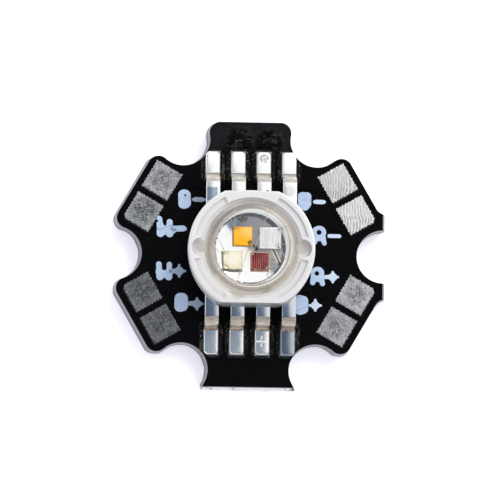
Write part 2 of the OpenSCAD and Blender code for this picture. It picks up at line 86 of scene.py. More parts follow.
def add_camera():
    """A long lens far away that looks at the middle of the picture, rolled by the part's turn."""
    middle = PICTURE_SIDE / 2
    aim = board_spot((middle - STAR_PX[0]) / PX_PER_MM, (STAR_PX[1] - middle) / PX_PER_MM)
    aim = Vector((aim.x, aim.y, BOARD_TOP))
    toward = (Vector((0, 0, 1)) - RAISED_SHIFT).normalized()
    up = Vector((-math.sin(PART_TURN), math.cos(PART_TURN), 0))
    right = up.cross(toward).normalized()
    up = toward.cross(right)
    data = bpy.data.cameras.new("camera")
    data.sensor_width = SENSOR
    data.lens = PX_PER_MM * CAMERA_AWAY * data.sensor_width / PICTURE_SIDE
    data.clip_start, data.clip_end = SEEN_FROM * MM, SEEN_TO * MM
    camera = bpy.data.objects.new("camera", data)
    bpy.context.collection.objects.link(camera)
    axes = Matrix((right, up, toward)).transposed().to_4x4()
    camera.matrix_world = Matrix.Translation((aim + toward * CAMERA_AWAY) * MM) @ axes
    bpy.context.scene.camera = camera
    return camera


def spot_at(px, py, level=BOARD_TOP):
    """Place in mm that the picture shows at a pixel, on a level that is the board's top unless given."""
    one_px = SENSOR / camera.data.lens / PICTURE_SIDE
    ray = Vector(((px - PICTURE_SIDE / 2) * one_px, (PICTURE_SIDE / 2 - py) * one_px, -1))
    way = camera.matrix_world.to_3x3() @ ray
    start = camera.location / MM
    return start + way * ((level - start.z) / way.z)


camera = add_camera()
print("camera in mm:", [round(c / MM, 1) for c in camera.location], "lens", round(camera.data.lens))

# %% [markdown]
# ## Sums made of nodes
# A shader can't run Python, so each sum in it is a chain of Math nodes, and a few dozen of them are
# tiring to write one by one. Here a small class stands for a number that differs from place to place
# on a surface, mostly a share from 0 to 1. Its plus, minus and times signs add the nodes. Two shares
# that are multiplied mean "where both are", and 1 minus a share means "everywhere else".

# %% Make helpers for shader nodes
def add_node(tree, kind, **settings):
    """A new shader node with the given settings."""
    node = tree.nodes.new(kind)
    for name, value in settings.items():
        setattr(node, name, value)
    return node


def feed(socket, value):
    """Gives a socket a plain value, or wires a share or another node's output to it."""
    if isinstance(value, Share):
        value = value.output
    if isinstance(value, bpy.types.NodeSocket):
        socket.id_data.links.new(value, socket)
    else:
        socket.default_value = value


def math_node(operation, *values):
    """The share that a Math node makes of shares and plain numbers."""
    tree = next(value.output.id_data for value in values if isinstance(value, Share))
    node = add_node(tree, "ShaderNodeMath", operation=operation)
    for socket, value in zip(node.inputs, values):
        feed(socket, value)
    return Share(node.outputs[0])


class Share:
    """A number that differs from place to place. Plain signs of arithmetic add its Math nodes."""

    def __init__(self, output):
        self.output = output

    def __add__(self, other):
        return math_node("ADD", self, other)

    def __sub__(self, other):
        return math_node("SUBTRACT", self, other)

    def __rsub__(self, other):
        return math_node("SUBTRACT", other, self)

    def __mul__(self, other):
        return math_node("MULTIPLY", self, other)

    def __truediv__(self, other):
        return math_node("DIVIDE", self, other)

    def __abs__(self):
        return math_node("ABSOLUTE", self)

    __radd__, __rmul__ = __add__, __mul__


def step(value, start, end):
    """Rises smoothly from 0 at start to 1 at end."""
    node = add_node(value.output.id_data, "ShaderNodeMapRange", interpolation_type="SMOOTHSTEP")
    for name, given in (("Value", value), ("From Min", start), ("From Max", end)):
        feed(node.inputs[name], given)
    return Share(node.outputs["Result"])


def mix_colour(share, first, second):
    """Colour that goes from first to second as share goes from 0 to 1."""
    node = add_node(share.output.id_data, "ShaderNodeMix", data_type="RGBA")
    for index, given in ((0, share), (6, first), (7, second)):
        feed(node.inputs[index], given)
    return node.outputs[2]


def axes_of(tree, place):
    """The three coordinates of a place as shares."""
    parts = add_node(tree, "ShaderNodeSeparateXYZ")
    feed(parts.inputs[0], place)
    return [Share(parts.outputs[axis]) for axis in "XYZ"]


print("node helpers ready")

# %% [markdown]
# ## Light tent and floor
# Small shiny parts are photographed in a white tent. Flat metal shows the tent like a mirror, so what
# matters is where the tent is open: here it is open towards the camera's side, and the lower leads and
# half of the cup show that blue-grey gap. A world shader that looks at the direction alone can draw
# such a tent. For each direction it works out where that ray would cross a flat roof over the part,
# and the gap is a stripe across this roof. The camera itself sees the tent white all over.

# %% Build the light tent
TENT_GAP_COLOUR = (0.12, 0.17, 0.25, 1)
GAP_LINE, GAP_LINE_SOFT = 0.1945, 0.004
GAP_FAR, GAP_SIDE, GAP_SOFT = -1.0, 1.1, 0.12
LOWEST_SLOPE = 0.02


def add_tent():
    """A world that is white all over but for a stripe, which only mirrors and soft surfaces see."""
    world = bpy.data.worlds.new("light_tent")
    bpy.context.scene.world = world
    world.use_nodes = True
    tree = world.node_tree
    x, y, z = axes_of(tree, add_node(tree, "ShaderNodeTexCoord").outputs["Generated"])
    height = math_node("MAXIMUM", z, LOWEST_SLOPE)
    across, along = x / height, y / height
    slant, sideways = across + along, abs(across - along)
    gap = step(slant, GAP_LINE + GAP_LINE_SOFT, GAP_LINE - GAP_LINE_SOFT)
    gap *= step(slant, GAP_FAR - GAP_SOFT, GAP_FAR + GAP_SOFT)
    gap *= step(sideways, GAP_SIDE + GAP_SOFT, GAP_SIDE - GAP_SOFT)
    seen = Share(add_node(tree, "ShaderNodeLightPath").outputs["Is Camera Ray"])
    background = tree.nodes["Background"]
    feed(background.inputs["Color"], mix_colour(gap * (1 - seen), (1, 1, 1, 1), TENT_GAP_COLOUR))
    feed(background.inputs["Strength"], 1)


add_tent()
bpy.context.scene.view_settings.view_transform = "Standard"
print("tent ready")

# %% [markdown]
# One wide lamp from the back right adds the faint shadow at the lower left. It is hidden from glossy
# rays, because a square highlight on each flat lead would look like a studio lamp and not like a tent.

# %% Hang the lamp
LAMP_PLACE, LAMP_SIDE, LAMP_WATTS = Vector((260, 300, 330)), 300, 1.5


def add_lamp(name, place, side, watts):
    """A square lamp that looks at the middle of the part, all in mm."""
    data = bpy.data.lights.new(name, "AREA")
    data.shape = "SQUARE"
    data.size = side * MM
    data.energy = watts
    lamp = bpy.data.objects.new(name, data)
    bpy.context.collection.objects.link(lamp)
    lamp.location = place * MM
    lamp.rotation_euler = (-place).to_track_quat("-Z", "Y").to_euler()
    lamp.visible_glossy = False
    return lamp


lamp = add_lamp("back_right_lamp", LAMP_PLACE, LAMP_SIDE, LAMP_WATTS)
print(lamp.name, "at", [round(c) for c in LAMP_PLACE], "mm")

# %% [markdown]
# The floor is a white sheet. It has to render as pure white, yet keep the part's shadow. A lit white
# sheet alone would come out light grey, so the camera also sees a weak glow that is added to it.

# %% Lay the floor
FLOOR_SIDE, FLOOR_GAP = 900, 0.01
FLOOR_GLOW = 0.46


def add_floor():
    """A square sheet just below the part."""
    mesh = bpy.data.meshes.new("floor")
    half, below = FLOOR_SIDE / 2 * MM, -FLOOR_GAP * MM
    corners = [(-half, -half, below), (half, -half, below), (half, half, below), (-half, half, below)]
    mesh.from_pydata(corners, [], [(0, 1, 2, 3)])
    floor = bpy.data.objects.new("floor", mesh)
    bpy.context.collection.objects.link(floor)
    paper = bpy.data.materials.new("white_paper")
    paper.use_nodes = True
    tree = paper.node_tree
    shader = tree.nodes["Principled BSDF"]
    feed(shader.inputs["Base Color"], (0.93, 0.925, 0.95, 1))
    feed(shader.inputs["Roughness"], 0.9)
    feed(shader.inputs["Specular IOR Level"], 0.1)
    glow = add_node(tree, "ShaderNodeEmission")
    feed(glow.inputs["Color"], (0.92, 0.9, 1, 1))
    rays = add_node(tree, "ShaderNodeLightPath")
    camera_ray, glossy_ray, glass_ray = (
        Share(rays.outputs[f"Is {kind} Ray"]) for kind in ("Camera", "Glossy", "Transmission")
    )
    seen = math_node("MAXIMUM", math_node("MAXIMUM", camera_ray, glossy_ray), glass_ray)
    feed(glow.inputs["Strength"], seen * FLOOR_GLOW)
    both = add_node(tree, "ShaderNodeAddShader")
    feed(both.inputs[0], shader.outputs[0])
    feed(both.inputs[1], glow.outputs[0])
    feed(tree.nodes["Material Output"].inputs["Surface"], both.outputs[0])
    mesh.materials.append(paper)


add_floor()
print("floor", FLOOR_SIDE, "mm wide")

# %% [markdown]
# ## Tools for finishes
# Every finish is one Principled shader with its plain values set on it, and noise that varies colour,
# roughness or height. The noise reads object coordinates. Each piece stands at the origin in metres,
# so a noise scale of 1000 divided by a length in mm gives grain of about that length. A colour is laid
# on like paint: a first coat, and over it further coats, each with the share of the surface it covers.

# %% Make helpers for finishes
def between(value, low, high, soft):
    """1 between low and high and 0 outside, in mm, with soft edges."""
    rise = step(value, (low - soft) * MM, (low + soft) * MM)
    fall = step(value, (high + soft) * MM, (high - soft) * MM)
    return rise * fall


class Finish:
    """A material that is built round one Principled shader."""

    def __init__(self, name, colour, roughness, **sockets):
        self.material = bpy.data.materials.new(name)
        self.material.use_nodes = True
        self.tree = self.material.node_tree
        self.shader = self.tree.nodes["Principled BSDF"]
        self.set(Base_Color=(*colour, 1), Roughness=roughness, **sockets)
        self.place = add_node(self.tree, "ShaderNodeTexCoord").outputs["Object"]
        self.x, self.y, self.z = axes_of(self.tree, self.place)

    def set(self, **sockets):
        """Gives the shader's sockets plain values or shares."""
        for socket, value in sockets.items():
            feed(self.shader.inputs[socket.replace("_", " ")], value)

    def stretched(self, stretch):
        """The place with each axis multiplied, which draws grain out along the axes with small numbers."""
        node = add_node(self.tree, "ShaderNodeVectorMath", operation="MULTIPLY")
        feed(node.inputs[0], self.place)
        feed(node.inputs[1], stretch)
        return node.outputs[0]

    def grain(self, length, detail=3.0, stretch=None):
        """Noise from 0 to 1 with grain of about this length in mm."""
        node = add_node(self.tree, "ShaderNodeTexNoise")
        feed(node.inputs["Vector"], self.stretched(stretch) if stretch else self.place)
        feed(node.inputs["Scale"], 1 / (length * MM))
        feed(node.inputs["Detail"], detail)
        return Share(node.outputs[0])

    def near(self, x, y, radius, soft):
        """1 round a point of the board and 0 further away, all in mm."""
        dx, dy = self.x - x * MM, self.y - y * MM
        return step(math_node("SQRT", dx * dx + dy * dy), (radius + soft) * MM, radius * MM)

    def stroke(self, start, end, half, soft):
        """1 within this distance of the line between two points of the board, all in mm."""
        start, end = Vector(start), Vector(end)
        way = (end - start).normalized()
        side = Vector((-way.y, way.x))
        along = self.x * way.x + self.y * way.y
        across = self.x * side.x + self.y * side.y
        offset = side.dot(start)
        on_line = between(across, offset - half, offset + half, soft)
        return on_line * between(along, way.dot(start), way.dot(end), soft)

    def patch(self, spot, half_x, half_y, soft):
        """1 in a square patch round a point of the board, all in mm."""
        in_x = between(self.x, spot.x - half_x, spot.x + half_x, soft)
        return in_x * between(self.y, spot.y - half_y, spot.y + half_y, soft)

    def border(self, node, width):
        """1 in a band of this width in mm along the edges of a CAD node seen from above."""
        low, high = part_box(node)
        middle, half = (low + high) / 2, (high - low) / 2
        edges = [
            step(abs(place - centre), reach - width * MM, reach - 0.5 * width * MM)
            for place, centre, reach in ((self.x, middle.x, half.x), (self.y, middle.y, half.y))
        ]
        return math_node("MAXIMUM", *edges)

    def colour(self, *layers):
        """Sets the base colour from a first colour and (share, colour) layers laid over it."""
        result = (*layers[0], 1)
        for share, colour in layers[1:]:
            result = mix_colour(share, result, (*colour, 1))
        self.set(Base_Color=result)
        return self

    def roughness(self, share, low, high):
        """Roughness that goes from low to high as share goes from 0 to 1."""
        node = add_node(self.tree, "ShaderNodeMapRange")
        for name, value in (("Value", share), ("To Min", low), ("To Max", high)):
            feed(node.inputs[name], value)
        self.set(Roughness=node.outputs["Result"])
        return self

    def relief(self, *layers):
        """Bumps from (height, depth in mm) pairs, one on top of the other."""
        below = None
        for height, depth in layers:
            node = add_node(self.tree, "ShaderNodeBump")
            feed(node.inputs["Distance"], depth * MM)
            feed(node.inputs["Height"], height)
            if below is not None:
                feed(node.inputs["Normal"], below)
            below = node.outputs["Normal"]
        self.set(Normal=below)
        return self


def coat(thing, finish):
    """Gives a piece or CAD node one finish all over."""
    thing.data.materials.clear()
    thing.data.materials.append(finish.material)


print("finish helpers ready")

# %% [markdown]
# ## Tools for pieces
# A CAD solid has knife sharp edges, and real ones are slightly broken: that thin rounded line is what
# catches the light. A copy of the solid's mesh is welded, its flat faces are joined, its sharp edges
# are bevelled, and weighted normals keep the flats flat. The copy then stands for the CAD node.
# Pieces that no solid can give are laid out as rows of points, which are joined to faces, and their
# open rim is drawn down to a wall so that they have some thickness.

# %% Make helpers for pieces
SHARP = math.radians(32)
FLAT = math.radians(0.4)
WELD = 0.0002


def new_piece(name, mesh, finish, slot, *stands_for):
    """Puts a mesh in the scene as a piece of the part, in place of the CAD nodes that it stands for."""
    piece = bpy.data.objects.new(name, mesh)
    bpy.context.collection.objects.link(piece)
    coat(piece, finish)
    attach(piece, "root")
    if stands_for:
        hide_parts(*stands_for)
    return piece


def mesh_from(work, name, keep_sharp=True):
    """Turns a bmesh into a smooth shaded mesh, in which sharp edges can stay sharp."""
    bmesh.ops.recalc_face_normals(work, faces=work.faces)
    mesh = bpy.data.meshes.new(name)
    work.to_mesh(mesh)
    work.free()
    mesh.shade_smooth()
    if keep_sharp:
        mesh.set_sharp_from_angle(angle=SHARP)
    return mesh


def solid_copy(node):
    """The CAD node's mesh as a welded bmesh with its flat faces whole."""
    work = bmesh.new()
    work.from_mesh(nodes[node].data)
    bmesh.ops.remove_doubles(work, verts=work.verts, dist=WELD * MM)
    bmesh.ops.dissolve_limit(work, angle_limit=FLAT, verts=work.verts, edges=work.edges)
    return work


def edged_piece(node, finish, slot, edge, name=None):
    """A piece with the CAD node's form whose sharp edges are rounded by edge mm."""
    work = solid_copy(node)
    sharp = [e for e in work.edges if len(e.link_faces) == 2 and e.calc_face_angle() > SHARP]
    bmesh.ops.bevel(
        work, geom=sharp, offset=edge * MM, offset_type="OFFSET", segments=3, profile=0.5,
        affect="EDGES", clamp_overlap=True
    )
    name = name or node + "_dressed"
    piece = new_piece(name, mesh_from(work, name, keep_sharp=False), finish, slot, node)
    piece.modifiers.new("flat_faces", "WEIGHTED_NORMAL")
    return piece


def join_rows(work, rows, closed=True):
    """Faces between rows of points. A row of one point ends the form on its axis."""
    count = max(len(row) for row in rows)
    for a, b in zip(rows[:-1], rows[1:]):
        for k in range(count if closed else count - 1):
            n = (k + 1) % count
            corners = (a[k % len(a)], b[k % len(b)], b[n % len(b)], a[n % len(a)])
            work.faces.new(list(dict.fromkeys(corners)))


def rim_down(work):
    """Starts a wall at a sheet's open rim and gives the wall's lower points."""
    rim = [edge for edge in work.edges if len(edge.link_faces) == 1]
    made = bmesh.ops.extrude_edge_only(work, edges=rim)["geom"]
    return [part for part in made if isinstance(part, bmesh.types.BMVert)]


print("piece helpers ready")

# %% [markdown]
# ## Aluminium core
# The star is punched from sheet, so its wall isn't plumb: below a clean sheared band the metal tears
# and flares outwards, most on the left, where the pale wall shows beside the black face. The copy of
# the CAD core is cut at several heights, and each cut is pushed outwards by its share of the flare.
# The lower edge was snapped off its neighbour, which leaves fresh white metal with two dark spurs.

# %% Dress the core
FLARE = 0.24
FLARE_HEIGHTS = {1.22: 0.0, 0.95: 0.14, 0.6: 0.45, 0.3: 0.8, 0.08: 1.0}
FLARE_TOWARDS, FLARE_BACK = Vector((-1, 0.35, 0)).normalized(), 0.12
FLARE_ROUGH, ROUGH_GRAIN = 0.25, 1400
WALL_TILT = 0.5

wall_metal = Finish("punched_aluminium", (0.4, 0.4, 0.43), 0.45, Metallic=0.6)
drag = wall_metal.grain(0.12, 4, (1, 1, 0.12))
torn = between(wall_metal.z, 0.05, 0.45, 0.12)
rolled = between(wall_metal.z, 1.16, 1.4, 0.05)
snapped = step(wall_metal.y, -9.8 * MM, -9.95 * MM)
white_wall = snapped * step(wall_metal.grain(0.6, 4), 0.36, 0.46)
spurs = snapped * (wall_metal.near(-3.8, -10.0, 0.2, 0.25) + wall_metal.near(3.4, -10.0, 0.1, 0.2))
wall_metal.colour(
    (0.37, 0.37, 0.4),
    (drag, (0.23, 0.23, 0.25)),
    (torn * 0.7, (0.14, 0.14, 0.16)),
    (rolled, (0.2, 0.2, 0.22)),
    (white_wall, (0.86, 0.86, 0.88)),
    (spurs, (0.1, 0.1, 0.11)),
)
wall_metal.set(Metallic=(1 - white_wall) * 0.6)
wall_metal.roughness(drag, 0.3, 0.55)
wall_metal.relief((drag, 0.03), (wall_metal.grain(0.05), 0.01))


def outward(vertex):
    """Direction in plan that a wall vertex faces, from the walls that meet there."""
    total = Vector((0, 0, 0))
    for face in vertex.link_faces:
        if abs(face.normal.z) < WALL_TILT:
            total += face.normal * face.calc_area()
    total.z = 0
    return total.normalized() if total.length > 0 else total


def dress_core():
    """The core with its torn wall flared outwards."""
    work = solid_copy("core_plate")
    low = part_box("core_plate")[0].z
    for height in FLARE_HEIGHTS:
        geometry = work.verts[:] + work.edges[:] + work.faces[:]
        bmesh.ops.bisect_plane(
            work, geom=geometry, plane_co=(0, 0, low + height * MM), plane_no=(0, 0, 1), dist=TINY
        )
    levels = sorted(FLARE_HEIGHTS)
    shares = [FLARE_HEIGHTS[height] for height in levels]
    moves = {}
    for vertex in work.verts:
        way = outward(vertex)
        share = float(np.interp((vertex.co.z - low) / MM, levels, shares))
        facing = max(0.0, way.dot(FLARE_TOWARDS) + FLARE_BACK) / (1 + FLARE_BACK)
        rough = 1 + FLARE_ROUGH * noise.noise(vertex.co * ROUGH_GRAIN)
        moves[vertex] = way * FLARE * facing * share * rough * MM
    for vertex, move in moves.items():
        vertex.co += move
    mesh = mesh_from(work, "punched_core")
    return new_piece("punched_core", mesh, wall_metal, "aluminium_core", "core_plate")


core = dress_core()
print("core faces:", len(core.data.polygons))

# %% [markdown]
# ## Insulating layer and copper
# A thin cream resin layer with ceramic powder holds the copper off the core. It shows only as a line
# at the board's edge, and the copper only as a hairline where the black mask doesn't quite reach the
# tin. That hairline is painted black on the copper's upper skin, so only its flanks are red. Both keep
# their CAD solids and get a grained finish.

# %% Finish the layers
DARK_TOP_SKIN = 0.006

resin = Finish("filled_resin", (0.5, 0.46, 0.36), 0.6)
resin.colour((0.46, 0.43, 0.36), (resin.grain(0.06), (0.24, 0.23, 0.2))).relief((resin.grain(0.03), 0.004))
coat(nodes["dielectric_layer"], resin)

copper = Finish("copper_foil", (0.72, 0.36, 0.2), 0.35, Metallic=0.8)
copper_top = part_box("copper_track_1")[1].z / MM
# The copper's upper skin is painted black where the hairline reads dark.
dark_top = step(copper.z, (copper_top - DARK_TOP_SKIN) * MM, (copper_top - DARK_TOP_SKIN / 2) * MM)
copper.colour((0.72, 0.36, 0.2), (copper.grain(0.4), (0.5, 0.22, 0.12)), (dark_top, (0.035, 0.033, 0.032)))
copper.roughness(copper.grain(0.1), 0.25, 0.5).relief((copper.grain(0.05, 2, (1, 6, 1)), 0.003))
for name in ["thermal_land"] + [f"copper_track_{i}" for i in range(1, 9)]:
    coat(nodes[name], copper)
print("resin and copper finished")

# %% [markdown]
# ## Black solder mask
# The mask is a thin black lacquer with a satin skin. It lies over the tracks like a blanket, which
# the CAD solid already does. The top arm is scuffed and lighter, partly from wear and partly as a
# painted sheen, and has two wrinkled patches of dried flux. Two cuts through one smooth noise give
# painted shade in their folds and painted highlights on the rims beside them, and another noise
# gives pits, so colour, roughness and relief all change there.

# %% Finish the mask
mask = Finish("black_mask", (0.002, 0.002, 0.003), 0.4, Specular_IOR_Level=0.05)
top_arm = step(mask.y, 7.6 * MM, 8.2 * MM)
patch = (mask.near(-0.8, 8.5, 0.75, 0.6) + mask.near(1.4, 8.5, 0.7, 0.6)) * top_arm
wrinkle = mask.grain(0.45, 2, (0.8, 1.3, 1))
fold_painted_shade = patch * step(wrinkle, 0.5, 0.53)
fold_painted_highlight = patch * step(wrinkle, 0.43, 0.49) * (1 - fold_painted_shade)
fold = mask.grain(0.42, 4, (0.75, 1.25, 1))
pit = patch * step(mask.grain(0.6, 3), 0.48, 0.58)
mask.colour(
    (0.0016, 0.0016, 0.0024),
    (mask.grain(1.6) * 0.5, (0.004, 0.004, 0.005)),
    # Lighter top arm: partly scuffed, partly a painted sheen.
    (top_arm * mask.grain(0.35), (0.02, 0.02, 0.022)),
    # Painted highlights on the fold rims and painted shade in the folds.
    (fold_painted_highlight, (0.042, 0.042, 0.046)),
    (fold_painted_shade, (0.001, 0.001, 0.002)),
    (pit, (0.002, 0.002, 0.003)),
)
mask.roughness(mask.grain(0.8) - patch * 0.5, 0.26, 0.46)
mask.relief((mask.grain(0.16, 2), 0.006), (fold * patch, 0.5), (pit, 0.03))
coat(nodes["solder_mask"], mask)
print("mask finished")

# %% [markdown]
# ## White print
# The channel letters were screen printed with far too much ink: strokes are as thick as the gaps
# between them, corners have filled in and a plus has become a four pointed star. Text objects look
# too crisp for that. Here a letter is a few pen strokes, the ink is everything nearer to them than the
# pen's radius, and a soft minimum makes ink creep into the corners as the wet ink did. The strokes are
# written in picture pixels, and a ray through the camera turns each pixel into a spot on the board.

# %% Write down the strokes
# A stroke is (x, y, x, y, pen radius) and a hole is (x, y, radius), all in picture pixels
LETTERS_PX = {
    "green_minus": (
        [(183.4, 194.6, 183.6, 203.6, 5.2), (185.6, 195.0, 185.8, 203.0, 5.2)],
        [(185.2, 195.1, 1.1)],
    ),
    "white_minus": (
        [(159.4, 219.5, 159.9, 232.8, 2.9), (158.9, 217.6, 159.6, 218.4, 2.0),
         (169.7, 222, 169.9, 233, 3.0), (160.6, 233.5, 160.8, 233.5, 3.4),
         (169.6, 233.8, 169.8, 233.8, 3.3), (161, 230.6, 169, 230.6, 3.6), (160.5, 224, 165, 230, 2.2),
         (165, 230, 169.5, 225, 2.1), (171, 232, 175, 230, 2.2)],
        [(156.9, 220.9, 1.3)],
    ),
    "white_plus": (
        [(158.9, 264, 159.6, 276, 2.8), (169.4, 264.3, 169, 276, 2.7),
         (158.8, 271.5, 159.2, 271.5, 3.0), (160, 276.9, 160.2, 276.9, 3.3),
         (168.6, 276.9, 168.8, 276.9, 3.3), (160.5, 273.6, 168.5, 273.6, 3.6)],
        [],
    ),
    "green_plus": (
        [(180.0, 298.4, 179.8, 306.2, 5.4), (182.6, 298.4, 182.8, 305.6, 5.3)],
        [],
    ),
    "blue_minus": (
        [(302.2, 196.3, 302.4, 203.5, 4.4), (306.8, 196.6, 306.6, 203.6, 4.6),
         (304.7, 206.3, 304.9, 206.3, 4.4)],
        [],
    ),
    "red_minus": (
        [(315.1, 229.6, 314.9, 242.2, 2.2), (319.3, 232.3, 319.5, 232.3, 6.7),
         (316, 238.4, 323, 238.2, 2.7), (323, 239, 324.4, 243.2, 2.3)],
        [(319.1, 232.3, 2.5)],
    ),
    "red_plus": (
        [(314.3, 271.3, 312.7, 282.4, 2.7), (317.5, 273.2, 317.7, 273.2, 6.6),
         (315.6, 278.6, 321.3, 278.6, 3.0), (321, 279, 322.5, 283.5, 2.6)],
        [(316.9, 273.3, 2.3)],
    ),
    "blue_plus": (
        [(299.5, 300, 299.8, 309.6, 5.2), (303.2, 301, 303.2, 308.8, 5.0)],
        [],
    ),
}
SIGNS_PX = {
    "green_minus": [(193, 199.3, 205.2, 199.6, 1.1), (195.6, 199.3, 201.6, 199.6, 2.4)],
    "white_minus": [(173, 228.6, 183, 228.3, 3.0), (183, 228.5, 185.6, 228.9, 1.3)],
    "white_plus": [(171, 271, 174, 271, 2.3), (179.2, 265, 179.2, 276.4, 1.2),
                   (172, 270.8, 185.2, 270.9, 1.2), (179, 270.8, 179.4, 270.8, 4.2)],
    "green_plus": [(189.6, 303.3, 192, 303.3, 2.1), (197, 298.4, 197, 309.2, 1.2),
                   (190, 303.6, 202.6, 303.8, 1.2), (196.8, 303.8, 197.2, 303.8, 4.2)],
    "blue_minus": [(314.3, 201.8, 324.6, 201.9, 1.3), (316.2, 201.8, 322.6, 201.9, 2.1)],
    "red_minus": [(329.4, 235.9, 339.4, 236.1, 1.9)],
    "red_plus": [(325.4, 276.9, 328, 276.9, 1.9), (332.8, 272, 332.8, 282.2, 1.2),
                 (326, 277, 338, 277.1, 1.2), (332.6, 277.1, 333, 277.1, 4.0)],
    "blue_plus": [(315.3, 300, 315.3, 310.4, 1.2), (309.4, 305.3, 320.8, 305.4, 1.2),
                  (315.1, 305.3, 315.4, 305.3, 3.9)],
}
print("letters to print:", len(LETTERS_PX), "with as many signs")

# %% [markdown]
# White ink on black looks pale blue, because the black below eats the warm part of the light. Where
# the ink is thin it is bluer still. Some signs got less ink than the letters and others got more, so
# there are three inks, each with thin or thick spots of its own.

# %% Mix the inks
def ink_finish(name, colour, worn):
    """Matte ink of one colour with spots of another."""
    ink = Finish(name, colour, 0.5, Specular_IOR_Level=0.3)
    ink.colour(colour, (step(ink.grain(0.4, 2), 0.58, 0.74), worn))
    return ink.relief((ink.grain(0.2), 0.008))


full_ink = ink_finish("white_ink", (0.5, 0.62, 0.81), (0.38, 0.49, 0.66))
bright_ink = ink_finish("bright_ink", (0.62, 0.72, 0.87), (0.5, 0.6, 0.78))
thin_ink = ink_finish("thin_ink", (0.36, 0.44, 0.57), (0.42, 0.5, 0.62))
SIGN_INKS = {
    "green_minus": thin_ink, "white_plus": thin_ink, "green_plus": thin_ink, "white_minus": full_ink
}
print("inks mixed:", [ink.material.name for ink in (full_ink, bright_ink, thin_ink)])

# %% [markdown]
# Two questions are asked of every spot: how deep inside the ink is it, and how high does the board
# stand there? The first is a sum over the strokes, in which strokes that are close together help each
# other. The second is a ray straight down onto the mask. Wet ink runs level over a small step, so
# heights are also averaged over a short distance.

# %% Measure ink and board
INK_CREEP, INK_RUN, RAY_FROM = 0.04, 0.07, 10
copper_thick = (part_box("copper_track_1")[1].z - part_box("copper_track_1")[0].z) / MM
board_tree = BVHTree.FromPolygons(
    [v.co for v in nodes["solder_mask"].data.vertices],
    [tuple(p.vertices) for p in nodes["solder_mask"].data.polygons],
)


def in_mm(*corner_px):
    """The spot on the board that a pixel shows, as an array of two numbers."""
    return np.array(spot_at(*corner_px).xy)


def pen_strokes(strokes_px):
    """Strokes as (start, end, pen radius) in mm."""
    return [(in_mm(a, b), in_mm(c, d), pen / PX_PER_MM) for a, b, c, d, pen in strokes_px]


def ink_depth(spots, strokes, holes):
    """How far each spot lies inside the ink, below 0 outside, with creep into the corners."""
    total = np.zeros(len(spots))
    for start, end, pen in strokes:
        way = end - start
        share = np.clip(((spots - start) @ way) / max(way @ way, 1e-9), 0, 1)
        away = np.linalg.norm(spots - start - share[:, None] * way, axis=1)
        total += np.exp((pen - away) / INK_CREEP)
    depth = INK_CREEP * np.log(np.maximum(total, 1e-300))
    for middle, radius in holes:
        depth = np.minimum(depth, np.linalg.norm(spots - middle, axis=1) - radius)
    return depth


def surface_height(x, y):
    """Height in metres of the mask, or of the pad it leaves open, below a spot in mm."""
    hit = board_tree.ray_cast(Vector((x * MM, y * MM, RAY_FROM * MM)), Vector((0, 0, -1)))
    return max(hit[0].z if hit[0] else 0, (BOARD_TOP - copper_thick) * MM)


def draped_height(x, y):
    """The same for wet ink, which runs level over a small step."""
    near_by = [surface_height(x + i * INK_RUN, y + j * INK_RUN) for i in (-1, 0, 1) for j in (-1, 0, 1)]
    return max(surface_height(x, y), sum(near_by) / len(near_by))


print("copper is", round(copper_thick, 3), "mm thick below the mask")

# %% [markdown]
# Each letter and each sign becomes a film of its own. A grid of points covers it, only cells that
# reach into the ink are kept, and the points at the rim are moved onto the line where the ink ends.
# The film bulges because its rim lies lower than its middle, as dried ink does.

# %% Print the marks
INK_GRID, SLOPE_STEP, STEEPEST = 0.026, 0.004, 0.3
INK_THICK, RIM_LIFT, RIM_DROP = 0.016, 0.3, 0.4


def ink_film(name, strokes, holes):
    """A thin film of ink that drapes over the board, with its rim drawn onto the ink's true edge."""
    ends = np.array([end for start, stop, _ in strokes for end in (start, stop)])
    margin = max(pen for _, _, pen in strokes) + 2 * INK_GRID
    low = ends.min(0) - margin
    wide, tall = np.ceil((ends.max(0) + margin - low) / INK_GRID).astype(int) + 1
    grid = low + INK_GRID * np.array([(i, j) for j in range(tall) for i in range(wide)])
    depth = ink_depth(grid, strokes, holes)
    slope = np.stack([
        ink_depth(grid + move, strokes, holes) - ink_depth(grid - move, strokes, holes)
        for move in np.eye(2) * SLOPE_STEP
    ], axis=1) / (2 * SLOPE_STEP)
    corners = [row * wide + column for row in range(tall - 1) for column in range(wide - 1)]
    cells = [(k, k + 1, k + 1 + wide, k + wide) for k in corners]
    cells = [cell for cell in cells if sum(depth[k] for k in cell) > 0]
    work = bmesh.new()
    made = {}
    for k, count in Counter(k for cell in cells for k in cell).items():
        spot = grid[k].copy()
        on_rim = count < 4
        if on_rim:
            spot -= slope[k] * depth[k] / max(float(slope[k] @ slope[k]), STEEPEST)
        lift = INK_THICK * (RIM_LIFT if on_rim else 1)
        made[k] = work.verts.new((spot[0] * MM, spot[1] * MM, draped_height(*spot) + lift * MM))
    for cell in cells:
        work.faces.new([made[k] for k in cell])
    for point in rim_down(work):
        point.co.z -= RIM_DROP * INK_THICK * MM
    return mesh_from(work, name)


for mark, (strokes_px, holes_px) in LETTERS_PX.items():
    holes = [(in_mm(x, y), radius / PX_PER_MM) for x, y, radius in holes_px]
    name = f"print_{mark}"
    letter = new_piece(name, ink_film(name, pen_strokes(strokes_px), holes), full_ink, "black_mask")
    sign = ink_film(name + "_sign", pen_strokes(SIGNS_PX[mark]), [])
    new_piece(name + "_sign", sign, SIGN_INKS.get(mark, bright_ink), "black_mask")
    print(name, "faces:", len(letter.data.polygons))
